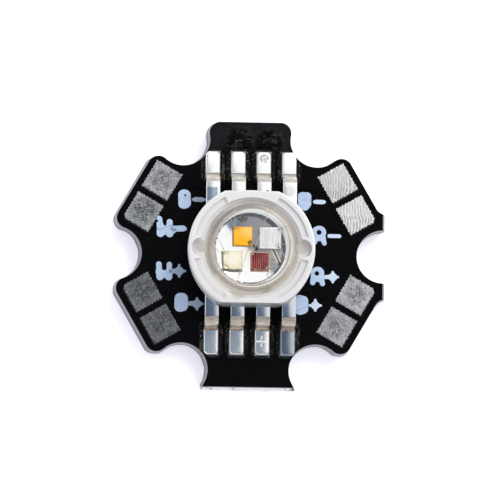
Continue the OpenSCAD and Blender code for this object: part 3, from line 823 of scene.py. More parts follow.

# %% [markdown]
# ## Tinned wire pads
# The pads were dipped in molten tin and blown flat with hot air. What stays is a crust of fine grain
# with ripples and a toothed edge that shows on a close look. A flat slab can't show it, so each pad is
# a fine grid in the pad's own directions, with noise in its height and teeth along its rim. The tin
# didn't settle evenly: it sits a little above the middle of its opening, and so does the grid. Two
# pads took more tin and are pale with beige ripples that carry painted shade and white crests that
# are painted highlights; the others are darker, blotched and stained, with faint painted shade in
# their ripples.

# %% Mix the tin
PAD_LIGHTS = {
    1: (0.36, 0.36, 0.377), 2: (0.32, 0.325, 0.34), 3: (0.93, 0.91, 0.89), 4: (0.82, 0.8, 0.79),
    5: (0.14, 0.143, 0.155), 6: (0.155, 0.158, 0.17), 7: (0.43, 0.43, 0.447), 8: (0.38, 0.38, 0.395),
}
PALE_PADS, SPOTTED_PADS = (3, 4), (2, 5, 6)
CLEAN_TIN = 0.85
WAVE_UNIT = 20


def waves(finish, length, wander):
    """Wavy lines along Y that repeat after about this length in mm, from 0 to 1."""
    node = add_node(finish.tree, "ShaderNodeTexWave", bands_direction="X")
    feed(node.inputs["Vector"], finish.place)
    feed(node.inputs["Scale"], 2 * math.pi / (WAVE_UNIT * length * MM))
    for name, value in (("Distortion", wander), ("Detail", 2), ("Detail Scale", 0.35)):
        feed(node.inputs[name], value)
    return Share(node.outputs[1])


def pale_coats(tin, light, middle, ripple, grit):
    """Beige ripples with painted shade along Y, stronger in the lower half, and white painted highlights.
    """
    lower_half = 0.35 + 0.65 * step(tin.y, (middle.y + 0.6) * MM, (middle.y - 0.5) * MM)
    rows = ripple * lower_half * step(tin.grain(0.5, 2), 0.34, 0.5)
    return (
        light,
        # The beige ripple rows carry painted shade.
        (rows * 0.85, (0.38, 0.34, 0.3)),
        (grit * 0.3, (0.5, 0.47, 0.44)),
        # White crests: painted highlights.
        (step(tin.grain(0.12, 2, (1, 0.5, 1)), 0.58, 0.7), (1.0, 1.0, 1.0)),
    )


def dark_coats(tin, light, middle, ripple, grit, spotted):
    """Blotched grey with faint painted shade in the ripples and dark blue stains in the middle of the pad.
    """
    def toned(factor):
        return tuple(min(factor * part, CLEAN_TIN) for part in light)

    centre = tin.near(middle.x, middle.y + 0.15, 0.5 if spotted else 0.3, 0.75)
    stain = centre * step(tin.grain(0.3, 4), 0.36, 0.6)
    blots = centre * step(tin.grain(0.14, 3), 0.5, 0.6)
    return (
        light,
        (step(tin.grain(0.45, 4), 0.42, 0.62) * 0.6, toned(1.8)),
        # Faint painted shade in the ripples.
        (ripple * 0.2, toned(0.55)),
        (step(tin.grain(0.09, 2, (0.3, 1, 1)), 0.46, 0.62) * 0.5, toned(1.8)),
        (step(tin.grain(0.35, 4), 0.55, 0.7) * 0.7, toned(0.25)),
        (stain * 0.8, (0.05, 0.056, 0.075) if spotted else (0.1, 0.11, 0.14)),
        (blots * (0.9 if spotted else 0.3), (0.04, 0.045, 0.06)),
        (grit * 0.4, toned(0.3)),
        (step(tin.grain(0.06, 1, (0.5, 1, 1)), 0.6, 0.68) * 0.8, toned(3)),
    )


def tin_finish(number):
    """Grainy tin in the tone of this pad."""
    low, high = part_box(f"wire_pad_tin_{number}")
    light, middle = PAD_LIGHTS[number], (low + high) / 2 / MM
    tin = Finish(f"tin_{number}", light, 0.5, Metallic=0.35)
    grit = step(tin.grain(0.07, 3), 0.4, 0.64)
    ripple = step(waves(tin, 0.2, 14), 0.4, 0.95)
    if number in PALE_PADS:
        tin.colour(*pale_coats(tin, light, middle, ripple, grit))
    else:
        tin.colour(*dark_coats(tin, light, middle, ripple, grit, number in SPOTTED_PADS))
    tin.roughness(grit, 0.35, 0.6)
    return tin.relief((grit, 0.012), (ripple, 0.05 if number in PALE_PADS else 0.03))


print("tin recipes for pads:", list(PAD_LIGHTS))

# %% [markdown]
# The grid of a pad runs in the directions of its arm of the star. Two of its corners are cut off, as
# the CAD pad has them: points that lie past the cut are pushed back onto it. The points of the rim are
# then moved in and out by a row of teeth, and all others up and down by two sizes of noise.

# %% Lay the tin
PAD_ARMS = {1: 150, 2: 150, 3: 30, 4: 30, 5: 210, 6: 210, 7: 330, 8: 330}
PAD_STEPS = 60
PAD_SHIFT = Vector((0.05, 0.09))
TOOTH_PITCH, TOOTH_DEPTH, TOOTH_MIDDLE, TOOTH_WANDER = 0.26, 0.11, 0.8, 0.12
BURR, BURR_GRAIN, WANDER_GRAIN = 0.04, 9000, 2500
CRUST, CRUST_GRAIN, CRUST_OCTAVES = 0.007, 7000, (0.8, 2.2, 3)
PALE_SWELL, DARK_SWELL, SWELL_STRETCH = 0.026, 0.012, 0.3
TIN_SINK = 0.006


def cut_corners(x, y, low, high, cuts):
    """Pushes a point that lies past one of the two cut corners back onto the cut."""
    for cut, side, gap in ((cuts[0], 1, y - low.y), (cuts[1], -1, high.y - y)):
        over = max(0.0, cut - gap - (high.x - x))
        x, y = x - over / 2, y + side * over / 2
    return x, y


def rim_tooth(spot, along):
    """How far the toothed rim stands out at a point, this far along it, in mm."""
    along += TOOTH_WANDER * noise.noise(spot * WANDER_GRAIN)
    tooth = TOOTH_DEPTH * (abs(math.sin(along * math.pi / TOOTH_PITCH)) - TOOTH_MIDDLE)
    return tooth + BURR * noise.noise(spot * BURR_GRAIN)


def tin_pad(number):
    """A crusted sheet of tin that takes the place of the flat CAD pad."""
    node = f"wire_pad_tin_{number}"
    turn = Matrix.Rotation(math.radians(PAD_ARMS[number]), 3, "Z")
    flat = [turn.inverted() @ v.co for v in nodes[node].data.vertices]
    low, high = (Vector([pick(v[k] for v in flat) for k in range(3)]) for pick in (min, max))
    ends = [v.y for v in flat if v.x > high.x - TINY]
    cuts = (min(ends) - low.y, high.y - max(ends))
    swell = PALE_SWELL if number in PALE_PADS else DARK_SWELL
    work = bmesh.new()
    rows = [[] for _ in range(PAD_STEPS + 1)]
    for i, row in enumerate(rows):
        for j in range(PAD_STEPS + 1):
            s, t = i / PAD_STEPS, j / PAD_STEPS
            x, y = low.x + (high.x - low.x) * s, low.y + (high.y - low.y) * t
            x, y = cut_corners(x, y, low, high, cuts)
            spot = turn @ Vector((x, y, high.z))
            rim = min(s, 1 - s, t, 1 - t)
            if rim == 0:
                out = turn @ Vector((s - 0.5, t - 0.5, 0)).normalized()
                spot += out * rim_tooth(spot, (x if t in (0, 1) else y) / MM) * MM
            lump = CRUST * noise.fractal(spot * CRUST_GRAIN, *CRUST_OCTAVES)
            lump += swell * noise.noise(Vector((spot.x, spot.y * SWELL_STRETCH, 0)) * CRUST_GRAIN)
            fall = TIN_SINK * max(0.0, 1 - rim * PAD_STEPS / 2)
            spot.z += (lump - fall - TIN_SINK) * MM
            spot.x -= math.copysign(PAD_SHIFT.x, spot.x) * MM
            spot.y += PAD_SHIFT.y * MM
            row.append(work.verts.new(spot))
    join_rows(work, rows, closed=False)
    for point in rim_down(work):
        point.co.z = low.z
    bmesh.ops.contextual_create(work, geom=[e for e in work.edges if len(e.link_faces) == 1])
    name = f"tinned_pad_{number}"
    return new_piece(name, mesh_from(work, name), tin_finish(number), "solder_tin", node)


pads = [tin_pad(number) for number in PAD_ARMS]
print("pad faces:", [len(pad.data.polygons) for pad in pads])

# %% [markdown]
# ## Leads
# The leads are stamped from silver plated copper strip and bent down to the board. Flat silver shows
# the tent, bright on the upper row and blue-grey on the lower one, and their rounded edges pick up the
# white at the sides. Single leads carry marks of handling: a pen ring with a spot on one foot, a
# scratched cross on another, a cloud and a dot on the bars. A blue-grey patch on one bar is a painted
# reflection of the tent's gap. These are written in picture pixels and laid on as coats of their own.

# %% Mark single leads
RING_MARK_PX, RING_MARK_R, RING_LINE = (264.4, 158.8), 0.29, 0.1
# A bar's blue-grey patch, painted as a reflection of the tent's gap.
PATCH_PX, PATCH_W, PATCH_H = (212.3, 193.6), 0.4, 0.5
DOT_PX, CLOUD_PX = (267.6, 190.8), (289.0, 191.5)
CROSS_MARK_PX, CROSS_THIN, CROSS_LONG = (261.3, 341.3), 0.06, 0.4
CROSS_GAP, CROSS_GAP_LONG, CROSS_WOBBLE = 0.02, 0.25, 0.22
body_low, body_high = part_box("package_body")
emitter_y = (body_low.y + body_high.y) / 2
LEAD_THICK = 0.3
bar_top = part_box("lead_1")[1].z / MM
foot_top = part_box("lead_1")[0].z / MM + LEAD_THICK


def cross_scratch(silver):
    """Two short strokes that cross on one lower foot, where the plating is scratched matte."""
    spot = spot_at(*CROSS_MARK_PX, foot_top)
    wobble = (silver.grain(0.25, 2) - 0.5) * (CROSS_WOBBLE * MM)

    def bar(across, middle_across, along, middle_along, thin, long):
        in_width = between(across, middle_across - thin, middle_across + thin, 0.02)
        return in_width * between(along, middle_along - long, middle_along + long, 0.02)

    bent_x, bent_y = silver.x + wobble, silver.y + wobble
    upright = bar(bent_x, spot.x, silver.y, spot.y, CROSS_THIN, CROSS_LONG)
    across = bar(bent_y, spot.y, silver.x, spot.x, CROSS_THIN, CROSS_LONG)
    inside = bar(bent_x, spot.x, silver.y, spot.y, CROSS_GAP, CROSS_GAP_LONG)
    return math_node("MAXIMUM", upright, across) * (1 - inside) * 0.85


def marks_on_leads(silver):
    """Coats for the ring, the cloud, the dot and a blue-grey patch that is a painted reflection."""
    ring = spot_at(*RING_MARK_PX, foot_top)
    inner = silver.near(ring.x, ring.y, RING_MARK_R - RING_LINE, 0.05)
    ring_line = silver.near(ring.x, ring.y, RING_MARK_R, 0.05) * (1 - inner * 0.75)
    ring_line *= step(silver.grain(0.2, 2), 0.3, 0.5)
    blue_patch_reflection = silver.patch(spot_at(*PATCH_PX, bar_top), PATCH_W, PATCH_H, 0.03)
    patch_reflection_grain = step(silver.grain(0.09, 3, (1.6, 0.6, 1)), 0.42, 0.62)
    dot, cloud = spot_at(*DOT_PX, bar_top), spot_at(*CLOUD_PX, bar_top)
    return (
        (ring_line * 0.9, (0.2, 0.2, 0.22)),
        (silver.near(ring.x + 0.04, ring.y - 0.05, 0.1, 0.06) * 0.5, (0.3, 0.3, 0.33)),
        (silver.near(cloud.x, cloud.y, 0.3, 0.3) * 0.5, (0.6, 0.62, 0.64)),
        # Painted reflection of the tent's gap on a bar.
        (blue_patch_reflection * 0.9, (0.37, 0.45, 0.53)),
        (blue_patch_reflection * patch_reflection_grain * 0.6, (0.2, 0.3, 0.42)),
        (silver.near(dot.x, dot.y, 0.06, 0.03), (0.03, 0.025, 0.02)),
    )


print("lead tops in mm: bar", round(bar_top, 2), "foot", round(foot_top, 2))

# %% [markdown]
# The plating has cracked and tarnished brown over both bends, and the flats have fine scratches. The
# beige bands and dark lines over the bends are partly tarnish and partly painted shade of the curved
# metal. How far a point lies from the emitter's middle line says whether it is on the bar, a bend or
# the foot. Both rows get the same recipe with other amounts: the upper row is clean and slightly
# clouded, the lower row is tarnished, its first three feet are hazy and the last one is clear, and its
# bars and last foot are painted blue-grey, darkest on the last foot, as a painted reflection of the
# tent's gap.

# %% Finish the leads
BEND_FROM, BEND_TO = 5.1, 5.9
LAST_FOOT_X = 2.3
LEAD_EDGE = 0.1


def silver_finish(name, tarnish, streaks, bend_tarnish_and_shade, haze_and_gap_reflection, clouded):
    """Plated silver with rust and painted shade at the bends, flat streaks, haze and painted reflection."""
    silver = Finish(name, (0.95, 0.95, 0.93), 0.12, Metallic=1.0)
    away = abs(silver.y - emitter_y)
    bend = between(away, BEND_FROM, BEND_TO, 0.05)
    bands = bend * step(silver.grain(0.13, 3, (0.25, 2.4, 1)), 0.4, 0.62)
    on_bar = step(away, BEND_FROM * MM, (BEND_FROM - 0.1) * MM)
    on_foot = step(away, BEND_TO * MM, (BEND_TO + 0.1) * MM)
    last_foot = on_foot * step(silver.x, LAST_FOOT_X * MM, (LAST_FOOT_X + 0.1) * MM)
    hazy_foot = on_foot * step(silver.x, LAST_FOOT_X * MM, (LAST_FOOT_X - 0.1) * MM)
    lower_line = between(away, BEND_TO - 0.1, BEND_TO + 0.01, 0.03)
    upper_line = between(away, BEND_FROM - 0.08, BEND_FROM + 0.05, 0.04)
    rust = (lower_line + upper_line * 0.4) * step(silver.grain(0.14, 3), 0.42, 0.58)
    haze = silver.grain(0.45, 3, (1, 0.5, 1))
    streak = streaks * step(silver.grain(0.1, 2, (2.2, 0.25, 1)), 0.55, 0.7)
    silver.colour(
        (1.0, 1.0, 0.98),
        # Beige bends, bands and lines: partly tarnish, partly painted shade of the curved metal.
        (bend * bend_tarnish_and_shade, (0.6, 0.53, 0.44)),
        (bands * bend_tarnish_and_shade, (0.4, 0.34, 0.27)),
        (lower_line * bend_tarnish_and_shade, (0.33, 0.26, 0.2)),
        (upper_line * bend_tarnish_and_shade, (0.42, 0.36, 0.3)),
        (rust * tarnish, (0.26, 0.14, 0.06)),
        (streak, (0.6, 0.64, 0.7)),
        # Blue-grey bars and last foot of the lower row: painted reflection of the tent's gap.
        (on_bar * haze_and_gap_reflection, (0.62, 0.66, 0.7)),
        (last_foot * haze_and_gap_reflection, (0.4, 0.44, 0.5)),
        *marks_on_leads(silver),
    )
    matte = hazy_foot * (haze_and_gap_reflection * 0.22) + cross_scratch(silver) + (1 - bend) * clouded
    silver.set(Metallic=1 - matte)
    silver.roughness(bend * 0.9 + haze * 0.15, 0.03, 0.42)
    return silver.relief((haze, 0.0002), (streak, 0.0006), (bands, 0.012))


upper_silver = silver_finish("silver_upper_leads", 0.1, 0.03, 0.5, 0, 0.32)
lower_silver = silver_finish("silver_lower_leads", 0.9, 0.2, 0.8, 0.8, 0)
leads = [
    edged_piece(f"lead_{i}", upper_silver if i <= 4 else lower_silver, "lead_plating", LEAD_EDGE)
    for i in range(1, 9)
]
print("lead faces:", [len(lead.data.polygons) for lead in leads])

# %% [markdown]
# ## Solder
# Solder creeps a little up round each foot and lies under the slug. It cooled to a satin grey skin.
# Its CAD wedges are thin and mostly hidden, so they only get their finish.

# %% Finish the solder
solder = Finish("solder", (0.55, 0.55, 0.56), 0.32, Metallic=0.9)
solder.colour((0.6, 0.6, 0.6), (solder.grain(0.14), (0.35, 0.35, 0.37)))
solder.roughness(solder.grain(0.1), 0.2, 0.45).relief((solder.grain(0.12), 0.02))
for name in ["slug_solder"] + [f"lead_solder_{i}" for i in range(1, 9)]:
    coat(nodes[name], solder)
print("solder finished")

# %% [markdown]
# Flux boiled out of the solder paste and froze round every foot as a black glassy ridge. It hides the
# copper land, and its wet looking crest is what shows as thin streaks of light beside the feet. Each
# ridge is a band that follows the foot's outline, with noise in its width and height. Its colour has
# faint brown streaks of painted sheen and a few pale specks of painted glint, and at the screw
# notches it ends with the board.

# %% Lay the flux ridges
FLUX_STEPS, FLUX_RINGS = 150, 9
FLUX_SIDE, FLUX_TIP, FLUX_WAVE, FLUX_GRAIN = 0.38, 0.12, 0.1, 3200
FLUX_CREST, CREST_WAVE, CREST_GRAIN, CREST_SHAPE, FLUX_SKIN = 0.1, 0.7, 1.7, 0.7, 0.012
FLUX_INSET, FLUX_CORNER, HEEL_GAP = 0.03, 0.12, 0.2
NOTCH_AWAY, NOTCH_R, NOTCH_CLEAR = 10, 2, 0.03
NOTCH_ANGLES = [math.radians(angle) for angle in (60, 120, 240, 300)]

flux = Finish("burnt_flux", (0.006, 0.005, 0.005), 0.16, Specular_IOR_Level=0.12)
flux.colour(
    (0.003, 0.003, 0.003),
    # Brown streaks of painted sheen and pale specks of painted glint.
    (step(flux.grain(0.3, 3, (1, 0.4, 1)), 0.56, 0.68), (0.06, 0.052, 0.046)),
    (step(flux.grain(0.1, 1), 0.7, 0.74), (0.5, 0.44, 0.36)),
)
flux.roughness(flux.grain(0.2), 0.04, 0.3).relief((flux.grain(0.14, 3, (1, 0.5, 1)), 0.05))
copper_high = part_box("copper_track_1")[1].z
notch_centres = [Vector((math.cos(angle), math.sin(angle))) * NOTCH_AWAY * MM for angle in NOTCH_ANGLES]


def foot_edge(half, angle):
    """Where a ray from the foot's middle leaves its outline, and which way the outline faces there."""
    way = Vector((math.cos(angle), math.sin(angle)))
    edge = way * min(half[k] / max(abs(way[k]), 1e-6) for k in (0, 1))
    sides = [edge[k] if abs(edge[k]) > half[k] - FLUX_CORNER * MM else 0 for k in (0, 1)]
    return edge, Vector(sides).normalized()


def clear_of_notches(spot):
    """Pushes a point back from the screw notches, where the board ends."""
    limit = (NOTCH_R + NOTCH_CLEAR) * MM
    for centre in notch_centres:
        if (spot - centre).length < limit:
            spot = centre + (spot - centre).normalized() * limit
    return spot


def flux_ridge(number):
    """A closed band of flux round the foot of a lead."""
    low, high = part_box(f"lead_{number}")
    side = 1 if number <= 4 else -1
    tip = high.y if side > 0 else low.y
    heel = emitter_y + side * (BEND_FROM + HEEL_GAP) * MM
    middle = Vector(((low.x + high.x) / 2, (tip + heel) / 2))
    inset = Vector((FLUX_INSET, FLUX_INSET)) * MM
    half = Vector((high.x - low.x, abs(tip - heel))) / 2 - inset
    edges = [foot_edge(half, 2 * math.pi * k / FLUX_STEPS) for k in range(FLUX_STEPS)]
    work = bmesh.new()
    rings = [[] for _ in range(FLUX_RINGS)]
    for ring, row in enumerate(rings):
        share = ring / (FLUX_RINGS - 1)
        for edge, out in edges:
            seed = (middle + edge).to_3d() * FLUX_GRAIN
            reach = FLUX_TIP + (FLUX_SIDE - FLUX_TIP) * abs(out.x) + FLUX_WAVE * noise.noise(seed)
            spot = clear_of_notches(middle + edge + out * reach * share * MM)
            crest = FLUX_CREST * (1 + CREST_WAVE * noise.noise(seed * CREST_GRAIN))
            crest *= math.cos(share * math.pi / 2) ** CREST_SHAPE
            z = max(surface_height(spot.x / MM, spot.y / MM), copper_high) + (crest + FLUX_SKIN / 2) * MM
            row.append(work.verts.new((spot.x, spot.y, z)))
    join_rows(work, rings)
    for point in rim_down(work):
        point.co.z -= FLUX_SKIN * MM
    name = f"flux_{number}"
    return new_piece(name, mesh_from(work, name), flux, "black_mask")


ridges = [flux_ridge(number) for number in range(1, 9)]
print("flux faces:", [len(ridge.data.polygons) for ridge in ridges])

# %% [markdown]
# ## Moulded body
# The body is milky plastic: light goes in, scatters and comes out beside where it went in, so shadows
# in its grooves stay soft. Subsurface scattering with a radius of a fraction of a millimetre does that.
# The plastic is painted tan where it lies under the clear optic, with turning lines, a thin dark seam
# at the collar and tan round the two ears. Painted shade greys the outer wall, darkest on the wall that
# faces down, darkens the lower side a little and lies tan under the flange's ledge at the bottom. The
# edges are rounded as a mould leaves them, and the two flats are pressed in a little by holding the
# copy's points between two limits.

# %% Dress the body
EAR_AWAY, PIN_R = 3.73, 0.42
SEAT_TOP, SEAT_SOFT = 4.4, 0.1
# Pixel of the painted tan shade under the flange's ledge.
LEDGE_SHADE_PX = (238.5, 290.5)
FLAT_LOW, FLAT_HIGH, BODY_EDGE = 4.18, 4.21, 0.04
centre_x, centre_y = (body_low.x + body_high.x) / 2 / MM, emitter_y / MM


def from_axis(finish, right, up, radius, soft):
    """1 within a radius of a point that is given from the emitter's middle, all in mm."""
    return finish.near(centre_x + right, centre_y + up, radius, soft)


milky = Finish(
    "milky_moulding", (0.8, 0.785, 0.765), 0.34, Subsurface_Weight=0.5, Subsurface_Scale=0.4 * MM,
    Subsurface_Radius=(1.0, 0.8, 0.65), Specular_IOR_Level=0.5
)
under_lens = from_axis(milky, 0.04, -0.12, 3.3, 0.22)
seam = from_axis(milky, 0.05, 0.13, 3.34, 0.04) * (1 - from_axis(milky, 0.05, 0.13, 3.2, 0.04))
mould_lines = under_lens * step(milky.grain(0.05, 2, (0.02, 0.02, 1)), 0.5, 0.62)
below_top = step(milky.z, SEAT_TOP * MM, (SEAT_TOP - SEAT_SOFT) * MM)
in_seat = below_top * from_axis(milky, 0, 0, 4.6, 0.1)
outer_wall_shade = below_top * (1 - from_axis(milky, 0, 0, 4.1, 0.1))
south_wall_shade = outer_wall_shade * step(milky.y, (centre_y - 4.0) * MM, (centre_y - 4.1) * MM)
lower_side_shade = step(milky.y, (centre_y + 2) * MM, (centre_y - 4) * MM)
ears = from_axis(milky, -EAR_AWAY, 0, PIN_R, 0.08) + from_axis(milky, EAR_AWAY, 0, PIN_R, 0.08)
ledge_spot = spot_at(*LEDGE_SHADE_PX, body_high.z / MM)
ledge_shade = milky.near(ledge_spot.x, ledge_spot.y, 0.45, 0.35) * step(milky.grain(0.4, 3), 0.3, 0.5)
milky.colour(
    (0.78, 0.775, 0.775),
    (milky.grain(1.3, 3) * 0.6, (0.7, 0.69, 0.685)),
    # Painted shade: the lower side is a little darker.
    (lower_side_shade * 0.5, (0.68, 0.67, 0.675)),
    (in_seat * 0.35, (0.66, 0.62, 0.57)),
    (under_lens, (0.56, 0.51, 0.45)),
    (under_lens * milky.grain(0.2, 3), (0.5, 0.45, 0.4)),
    (mould_lines * 0.7, (0.3, 0.27, 0.23)),
    (seam * 0.8, (0.34, 0.31, 0.27)),
    (ears * 0.75, (0.5, 0.455, 0.4)),
    # Painted shade on the outer wall, darkest on the wall that faces down, and under the flange's ledge.
    (outer_wall_shade * 0.8, (0.6, 0.6, 0.61)),
    (south_wall_shade, (0.36, 0.36, 0.37)),
    (ledge_shade * 0.7, (0.5, 0.46, 0.4)),
)
milky.roughness(milky.grain(0.3), 0.26, 0.42).relief((milky.grain(0.5), 0.01), (milky.grain(0.08), 0.003))
body = edged_piece("package_body", milky, "milky_moulding", BODY_EDGE, "moulded_body")
for vertex in body.data.vertices:
    away_y = (vertex.co.y - emitter_y) / MM
    vertex.co.y = emitter_y + max(-FLAT_LOW, min(FLAT_HIGH, away_y)) * MM
print("body faces:", len(body.data.polygons))

# %% [markdown]
# ## Slug and mirror cup
# The slug carries the chips in a shallow silvered cup. Through the dome the cup is the brightest and
# the darkest thing in the picture, because it mirrors the white tent and its gap. The dome bends the
# view of its edge, so the ring of tones round the floor is painted on in rings of its own: a ragged
# line of painted shade at the cup's edge, a crescent of painted shade inside it at the right, then the
# flat rim painted matte and pale as a painted reflection, with a white and a grey ring of painted
# reflection and a dark ring of painted shade.

# %% Draw the rings of the cup
CUP_EDGE_R, CUP_LINE = 1.65, 0.07
CUP_OFF = -0.07

mirror = Finish("silvered_cup", (0.9, 0.9, 0.9), 0.1, Metallic=1.0)
floor_part = from_axis(mirror, CUP_OFF, CUP_OFF, CUP_EDGE_R, 0.02)
cup_part = from_axis(mirror, CUP_OFF, CUP_OFF, CUP_EDGE_R + CUP_LINE, 0.02)
ragged_edge_shade = cup_part * (1 - floor_part) * step(mirror.grain(0.09, 3), 0.36, 0.5)
# The flat rim is painted matte and pale as a painted reflection of the tent.
flat_rim = 1 - cup_part
rim_white_reflection = flat_rim * from_axis(mirror, 0.06, 0.03, 1.79, 0.03)
rim_grey_reflection = flat_rim * from_axis(mirror, 0.08, 0.08, 1.83, 0.04)
rim_dark_shade = flat_rim * from_axis(mirror, -0.03, -0.05, 2.09, 0.03)
crescent = floor_part * (1 - from_axis(mirror, CUP_OFF - 0.1, CUP_OFF - 0.08, CUP_EDGE_R - 0.03, 0.06))
shaded = crescent * step(mirror.grain(0.12, 3), 0.28, 0.45)
print("cup edge radius in mm:", CUP_EDGE_R)

# %% [markdown]
# On the floor of the cup a warm haze lies at the right, with a brown stain at the top, a little soot
# in the middle and dust near the red chip. The stain's lighter grain is a painted highlight. Two pale
# streaks with a dark one between them and a brown spot at their end run down from the clear chip:
# painted reflections of wires that the cup mirrors. What covers the silver isn't metal any more, and
# neither are the painted reflections and the painted matte rim, so these shares also lower the
# metallic value, and where they add up to more than 1 it is held at 0.

# %% Dress the slug
SLUG_EDGE = 0.03

haze = from_axis(mirror, 1.25, 0.55, 1.3, 0.7)
stain = floor_part * from_axis(mirror, -0.41, 1.46, 0.2, 0.14) * step(mirror.grain(0.1, 3), 0.36, 0.46)
soot = from_axis(mirror, 0.24, -0.02, 0.08, 0.08) + from_axis(mirror, 0.19, 0.12, 0.06, 0.1)
soot *= step(mirror.grain(0.08, 3), 0.3, 0.5)
speck = step(mirror.grain(0.03, 3), 0.42, 0.6)
speckled = speck * from_axis(mirror, 0.9, -0.9, 0.7, 0.5)
dust = from_axis(mirror, 1.2, -0.8, 0.35, 0.35) * step(mirror.grain(0.07, 3), 0.48, 0.58)
matte = haze * floor_part * (0.14 + (speckled * 0.3 + speck * 0.06))
worn = step(mirror.grain(0.12, 3), 0.3, 0.42)
left_wire_reflection = mirror.stroke((1.03, 0.12), (1.4, -0.62), 0.025, 0.02)
right_wire_reflection = mirror.stroke((1.17, 0.14), (1.5, -0.48), 0.022, 0.02)
pale_wire_reflections = worn * (left_wire_reflection + right_wire_reflection)
dark_wire_reflection = worn * mirror.stroke((1.11, 0.13), (1.46, -0.56), 0.035, 0.02)
wire_end_reflection = mirror.near(1.42, -0.56, 0.07, 0.07) * step(mirror.grain(0.08, 3), 0.3, 0.5)
# All painted reflections of the wires.
streaks = pale_wire_reflections + dark_wire_reflection + wire_end_reflection
mirror.colour(
    (0.98, 0.98, 0.98),
    (mirror.grain(0.5, 3) * 0.1, (0.8, 0.79, 0.77)),
    (haze * 0.8, (0.98, 0.87, 0.74)),
    # Painted shade in the crescent at the right.
    (shaded * 0.85, (0.16, 0.14, 0.12)),
    (dust * 0.6, (0.45, 0.41, 0.36)),
    # Painted reflections of the wires.
    (dark_wire_reflection, (0.03, 0.027, 0.025)),
    (pale_wire_reflections, (0.74, 0.66, 0.56)),
    (wire_end_reflection, (0.06, 0.035, 0.015)),
    (soot, (0.03, 0.028, 0.025)),
    # Painted matte rim with rings of painted reflection and one of painted shade, and painted edge shade.
    (flat_rim, (0.86, 0.8, 0.72)),
    (rim_dark_shade, (0.38, 0.35, 0.31)),
    (rim_grey_reflection, (0.74, 0.73, 0.71)),
    (rim_white_reflection, (1.0, 1.0, 1.0)),
    (ragged_edge_shade, (0.1, 0.095, 0.09)),
    (stain * 0.95, (0.035, 0.025, 0.012)),
    # Painted highlights on the stain.
    (stain * step(mirror.grain(0.12, 2), 0.56, 0.62), (0.3, 0.25, 0.16)),
)
mirror.roughness(flat_rim + mirror.grain(0.35, 3) * 0.25, 0.05, 0.5)
cover_and_painted_light = matte + soot + streaks * 0.8 + stain * 0.7 + flat_rim * 0.9
mirror.set(Metallic=math_node("MAXIMUM", 1 - cover_and_painted_light, 0.0))
mirror.relief((mirror.grain(0.45), 0.004), (mirror.grain(0.06), 0.0015))
slug = edged_piece("heat_slug", mirror, "silver_plating", SLUG_EDGE, "slug_with_cup")
print("slug faces:", len(slug.data.polygons))

# %% [markdown]
# ## Chips
# Each chip is a block on a film of glue. The CAD chips have the blocks and their bond pads, so a chip
# only needs its finish: a thick amber phosphor with one burnt corner on the white one, pale yellow
# with a painted glow in its middle and painted shade along its bottom edge on the green one, streaky
# grey on the clear one, and dark red with a chipped, pale edge on the red one. The glue under the red
# chip is orange, the others' is grey.

# %% Dress the chips
CHIP_EDGE = 0.02

phosphor = Finish("amber_phosphor", (1.0, 0.5, 0.02), 0.5, Specular_IOR_Level=0.2)
low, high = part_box("die_white")
burnt = Vector((high.x / MM - 0.13, low.y / MM + 0.15))
phosphor.colour(
    (1.0, 0.5, 0.01),
    (phosphor.near(-0.1, 1.05, 0.15, 0.45), (1.0, 0.64, 0.16)),
    (phosphor.grain(0.2) * 0.5, (1.0, 0.44, 0.01)),
    (phosphor.border("die_white", 0.05) * phosphor.grain(0.1), (0.55, 0.2, 0.01)),
    (phosphor.near(burnt.x, burnt.y, 0.08, 0.03), (0.02, 0.012, 0.008)),
    (phosphor.near(burnt.x - 0.01, burnt.y + 0.01, 0.035, 0.02), (0.6, 0.33, 0.15)),
)
phosphor.relief((phosphor.grain(0.08), 0.01))

clear_chip = Finish("clear_chip", (0.88, 0.87, 0.87), 0.25)
veins = step(clear_chip.grain(0.09, 2, (1, 0.12, 1)), 0.45, 0.6)
clear_chip.colour((0.9, 0.89, 0.89), (veins * 0.5, (0.66, 0.65, 0.66)))

pale_chip = Finish("pale_yellow_chip", (0.9, 0.88, 0.66), 0.3)
pale_edge = pale_chip.border("die_green", 0.05) * step(pale_chip.grain(0.1, 2), 0.35, 0.5)
foot_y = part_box("die_green")[0].y + 0.02 * MM
bottom_edge_shade = step(pale_chip.y, foot_y + 0.06 * MM, foot_y) * step(pale_chip.grain(0.12, 3), 0.4, 0.5)
pale_chip.colour(
    (0.8, 0.74, 0.46),
    # Painted glow in the middle of the chip.
    (pale_chip.near(-0.87, -0.42, 0.18, 0.35), (0.95, 0.92, 0.78)),
    (pale_chip.grain(0.2, 3) * 0.35, (0.62, 0.58, 0.36)),
    (pale_edge * 0.5, (0.26, 0.24, 0.14)),
    # Painted shade along the chip's bottom edge.
    (bottom_edge_shade, (0.05, 0.04, 0.03)),
)

red_chip = Finish("dark_red_chip", (0.2, 0.012, 0.016), 0.3, Specular_IOR_Level=0.2)
red_edge = red_chip.border("die_red", 0.05) * step(red_chip.grain(0.12, 2), 0.4, 0.55)
red_chip.colour(
    (0.06, 0.001, 0.004),
    (red_chip.grain(0.15, 3), (0.14, 0.004, 0.008)),
    (red_edge * 0.8, (0.75, 0.42, 0.3)),
)
for finish in (clear_chip, pale_chip, red_chip):
    finish.relief((finish.grain(0.1), 0.005))

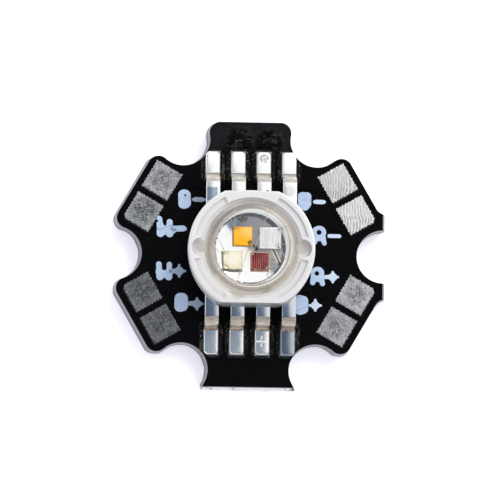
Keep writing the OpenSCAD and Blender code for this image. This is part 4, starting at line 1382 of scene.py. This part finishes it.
glue = Finish("chip_glue", (0.3, 0.29, 0.27), 0.45, Metallic=0.6)
glue.colour((0.35, 0.34, 0.32), (glue.grain(0.08), (0.12, 0.11, 0.1)))
orange_glue = Finish("orange_glue", (0.75, 0.35, 0.2), 0.4)
orange_glue.colour((0.8, 0.42, 0.25), (orange_glue.grain(0.1), (0.55, 0.2, 0.1)))
for name, finish, slot in (
    ("white", phosphor, "amber_phosphor"),
    ("blue", clear_chip, "clear_chip"),
    ("green", pale_chip, "pale_yellow_chip"),
    ("red", red_chip, "dark_red_chip"),
):
    coat(nodes["die_attach_" + name], orange_glue if name == "red" else glue)
    chip = edged_piece("die_" + name, finish, slot, CHIP_EDGE, "chip_" + name)
    print(chip.name, "faces:", len(chip.data.polygons))

# %% [markdown]
# The red and the clear chip show their contact fingers, fine metal lines that spread the current. A
# striped colour could draw them, but raised lines catch the light along their edges. So they are
# strips with a bevelled top, laid across the chip and sunk halfway into it.

# %% Lay the contact fingers
FINGER_W, FINGER_H, FINGER_BEVEL = 0.022, 0.012, 0.005
FIRST_FINGER, END_SPACE = 0.8, 0.6

red_finger = Finish("red_finger", (0.6, 0.2, 0.2), 0.4, Metallic=0.3, Specular_IOR_Level=0.2)
red_finger.colour((1.0, 0.33, 0.29), (red_finger.grain(0.12), (0.5, 0.05, 0.06)))
grey_finger = Finish("grey_finger", (0.45, 0.45, 0.48), 0.3, Metallic=0.5)
grey_finger.colour((0.84, 0.81, 0.81), (grey_finger.grain(0.2), (0.6, 0.59, 0.6)))


def finger_strips(node, count, margin):
    """Thin bevelled strips along Y over a chip's top, short enough to clear its bond pads."""
    low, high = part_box(node)
    size = Vector((FINGER_W * MM, high.y - low.y - 2 * margin * MM, 2 * FINGER_H * MM))
    work = bmesh.new()
    for k in range(count):
        x = low.x + (high.x - low.x) * (k + FIRST_FINGER) / (count + END_SPACE)
        place = Matrix.Translation((x, (low.y + high.y) / 2, high.z)) @ Matrix.Diagonal((*size, 1))
        made = bmesh.ops.create_cube(work, size=1, matrix=place)
        edges = {edge for vertex in made["verts"] for edge in vertex.link_edges}
        top = [edge for edge in edges if all(vertex.co.z > high.z for vertex in edge.verts)]
        bmesh.ops.bevel(work, geom=top, offset=FINGER_BEVEL * MM, segments=1, affect="EDGES")
    return work


for colour, node, count, margin, finish, slot in (
    ("red", "die_red", 8, 0.06, red_finger, "dark_red_chip"),
    ("blue", "die_blue", 11, 0.08, grey_finger, "clear_chip"),
):
    mesh = mesh_from(finger_strips(node, count, margin), f"{colour}_fingers")
    fingers = new_piece(f"{colour}_fingers", mesh, finish, slot)
    print(fingers.name, "faces:", len(mesh.polygons))

# %% [markdown]
# ## Bond wires
# Gold wires as thin as a hair loop from each chip's pads to the ends of the leads. They are true arcs
# with a ball at both ends in the CAD already, so they only need smooth shading and gold.

# %% Finish the wires
gold = Finish("gold_wire", (0.86, 0.78, 0.66), 0.25, Metallic=1.0)
gold.colour((0.78, 0.72, 0.62), (gold.grain(0.2), (0.5, 0.42, 0.32)))
for i in range(1, 9):
    mesh = mesh_from(solid_copy(f"bond_wire_{i}"), f"gold_wire_{i}")
    new_piece(f"gold_wire_{i}", mesh, gold, "gold_wire", f"bond_wire_{i}")
print("wires finished, 8 in all")

# %% [markdown]
# ## Lens and clear filling
# On the real part the dome is silicone and the space below it is filled with silicone too, so light
# bends only once, at the outer skin. Two separate glass solids with a hairline between them would add
# false reflections. The optic is therefore one closed piece: a profile turned round the axis from the
# cup's floor over well and flange to the top of the dome, sunk a little into what it touches.

# %% Turn the optic
SINK = 0.015
DOME_R, DOME_LIFT, DOME_STEPS = 3.3, 0.05, 48
FLANGE_T, FLANGE_SOFT = 0.35, 0.05
COLLAR_R, COLLAR_H = 3.47, 0.14
CUP_R, CUP_RIM_R, NECK_R = 1.842, 1.922, 2.15
TURN_STEPS = 160

lens_low, lens_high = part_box("lens")
axis = (lens_low + lens_high) / 2
seat = lens_low.z / MM
flange_top = seat + FLANGE_T
collar_top = flange_top + COLLAR_H
flange_r = (lens_high.y - lens_low.y) / 2 / MM
well_r = (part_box("silicone_fill")[1].x - axis.x) / MM
slug_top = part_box("heat_slug")[1].z / MM
cup_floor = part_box("die_attach_white")[0].z / MM


def optic_profile():
    """Radius and height in mm from the cup's floor, outside and over the dome to the axis."""
    middle = seat + DOME_LIFT
    start = math.asin((collar_top - middle) / DOME_R)
    angles = [start + (math.pi / 2 - start) * k / DOME_STEPS for k in range(DOME_STEPS)]
    dome = [(DOME_R * math.cos(angle), middle + DOME_R * math.sin(angle)) for angle in angles]
    soft = FLANGE_SOFT
    return [
        (0, cup_floor - SINK), (CUP_R + SINK, cup_floor - SINK), (CUP_RIM_R + SINK, slug_top - SINK),
        (NECK_R - SINK, slug_top - SINK), (NECK_R - SINK, bar_top - SINK), (well_r + SINK, bar_top - SINK),
        (well_r + SINK, seat - SINK), (flange_r, seat - SINK), (flange_r, flange_top - soft),
        (flange_r - soft * 0.3, flange_top - soft * 0.3), (flange_r - soft, flange_top),
        (COLLAR_R + soft, flange_top), (COLLAR_R, flange_top + soft), (COLLAR_R, collar_top - soft),
        (COLLAR_R - soft, collar_top), *dome, (0, middle + DOME_R),
    ]


def turned(profile, steps):
    """A closed bmesh from a profile that starts and ends on the axis."""
    angles = [2 * math.pi * k / steps for k in range(steps)]
    ways = [Vector((math.cos(angle), math.sin(angle), 0)) for angle in angles]
    work = bmesh.new()
    rings = []
    for radius, height in profile:
        middle = Vector((axis.x, axis.y, height * MM))
        rings.append([work.verts.new(middle + way * radius * MM) for way in (ways if radius else ways[:1])])
    join_rows(work, rings)
    bmesh.ops.recalc_face_normals(work, faces=work.faces)
    return work


def plain_mesh(work, name):
    """Turns a bmesh into a mesh as it is."""
    mesh = bpy.data.meshes.new(name)
    work.to_mesh(mesh)
    work.free()
    return mesh


optic_mesh = plain_mesh(turned(optic_profile(), TURN_STEPS), "lens_optic")
print("turned optic faces:", len(optic_mesh.polygons))

# %% [markdown]
# Two round ears with a pin mark each aren't round the axis, and neither are two small beads where the
# mould let silicone through. They are made as loose tools and joined to the turned form, or cut from
# it, with exact booleans, so that the optic stays one closed skin.

# %% Make the tools for the optic
EAR_R, PIN_DEPTH, BAR_STEPS = 0.69, 0.1, 64
PIP_PX, PIP_R, PIP_FLAT = [(224.4, 209.8), (282.2, 212.3)], 0.075, 0.8


def tool_from(work):
    """A loose object that the optic can be joined or cut with."""
    tool = bpy.data.objects.new("tool", plain_mesh(work, "tool"))
    bpy.context.collection.objects.link(tool)
    return tool


def round_bar(x, radius, low, high):
    """A closed cylinder on the lens's X line, in mm."""
    work = bmesh.new()
    place = Matrix.Translation((axis.x + x * MM, axis.y, (low + high) / 2 * MM))
    bmesh.ops.create_cone(
        work, cap_ends=True, segments=BAR_STEPS, radius1=radius * MM, radius2=radius * MM,
        depth=(high - low) * MM, matrix=place
    )
    return tool_from(work)


def moulding_pip(px):
    """A small flat bead, seated on the collar's edge."""
    spot = spot_at(*px, collar_top)
    way = Vector((spot.x - axis.x / MM, spot.y - axis.y / MM)).normalized()
    seat_on = way * (COLLAR_R - PIP_R / 2) * MM
    place = Matrix.Translation((axis.x + seat_on.x, axis.y + seat_on.y, collar_top * MM))
    place @= Matrix.Diagonal((1, 1, PIP_FLAT, 1))
    work = bmesh.new()
    bmesh.ops.create_uvsphere(work, u_segments=24, v_segments=12, radius=PIP_R * MM, matrix=place)
    return tool_from(work)


def cut_with(piece, tool, operation):
    """Joins or cuts a piece with a tool solid, which is then thrown away."""
    change = piece.modifiers.new("change", "BOOLEAN")
    change.object, change.operation, change.solver = tool, operation, "EXACT"
    bpy.context.view_layer.update()
    shaped = piece.evaluated_get(bpy.context.evaluated_depsgraph_get())
    mesh = bpy.data.meshes.new_from_object(shaped)
    piece.modifiers.clear()
    piece.data = mesh
    bpy.data.objects.remove(tool)


print("ears at", EAR_AWAY, "mm from the axis, pips at", COLLAR_R, "mm")

# %% [markdown]
# Clear silicone is a glass shader with silicone's index of 1.42. Glass that casts a full shadow would
# leave the chips in the dark, because a path tracer rarely finds the lamp through a curved skin. For
# shadow and diffuse rays the shader is plainly transparent, and all other rays see true refraction.

# %% Glaze the optic
SILICONE_IOR = 1.42


def let_light_in(finish):
    """Lets lamps and soft light pass straight through, so that the chips below are lit."""
    tree = finish.tree
    rays = add_node(tree, "ShaderNodeLightPath")
    shadow_ray, soft_ray = (Share(rays.outputs[f"Is {kind} Ray"]) for kind in ("Shadow", "Diffuse"))
    clear = add_node(tree, "ShaderNodeBsdfTransparent")
    both = add_node(tree, "ShaderNodeMixShader")
    feed(both.inputs[0], math_node("MAXIMUM", shadow_ray, soft_ray))
    feed(both.inputs[1], finish.shader.outputs[0])
    feed(both.inputs[2], clear.outputs[0])
    feed(tree.nodes["Material Output"].inputs["Surface"], both.outputs[0])


silicone = Finish(
    "clear_silicone", (1.0, 1.0, 1.0), 0.0,
    Transmission_Weight=1.0, IOR=SILICONE_IOR, Specular_IOR_Level=0.5
)
silicone.relief((silicone.grain(1.5, 1), 0.004))
let_light_in(silicone)
optic = new_piece("lens_optic", optic_mesh, silicone, "clear_lens", "lens", "silicone_fill")
for px in PIP_PX:
    cut_with(optic, moulding_pip(px), "UNION")
for side in (-1, 1):
    cut_with(optic, round_bar(side * EAR_AWAY, EAR_R, seat - SINK, flange_top), "UNION")
    cut_with(optic, round_bar(side * EAR_AWAY, PIN_R, flange_top - PIN_DEPTH, flange_top + 1), "DIFFERENCE")
coat(optic, silicone)
optic.data.shade_smooth()
optic.data.set_sharp_from_angle(angle=SHARP)
print("optic faces:", len(optic.data.polygons), "top in mm:", round(lens_high.z / MM, 2))
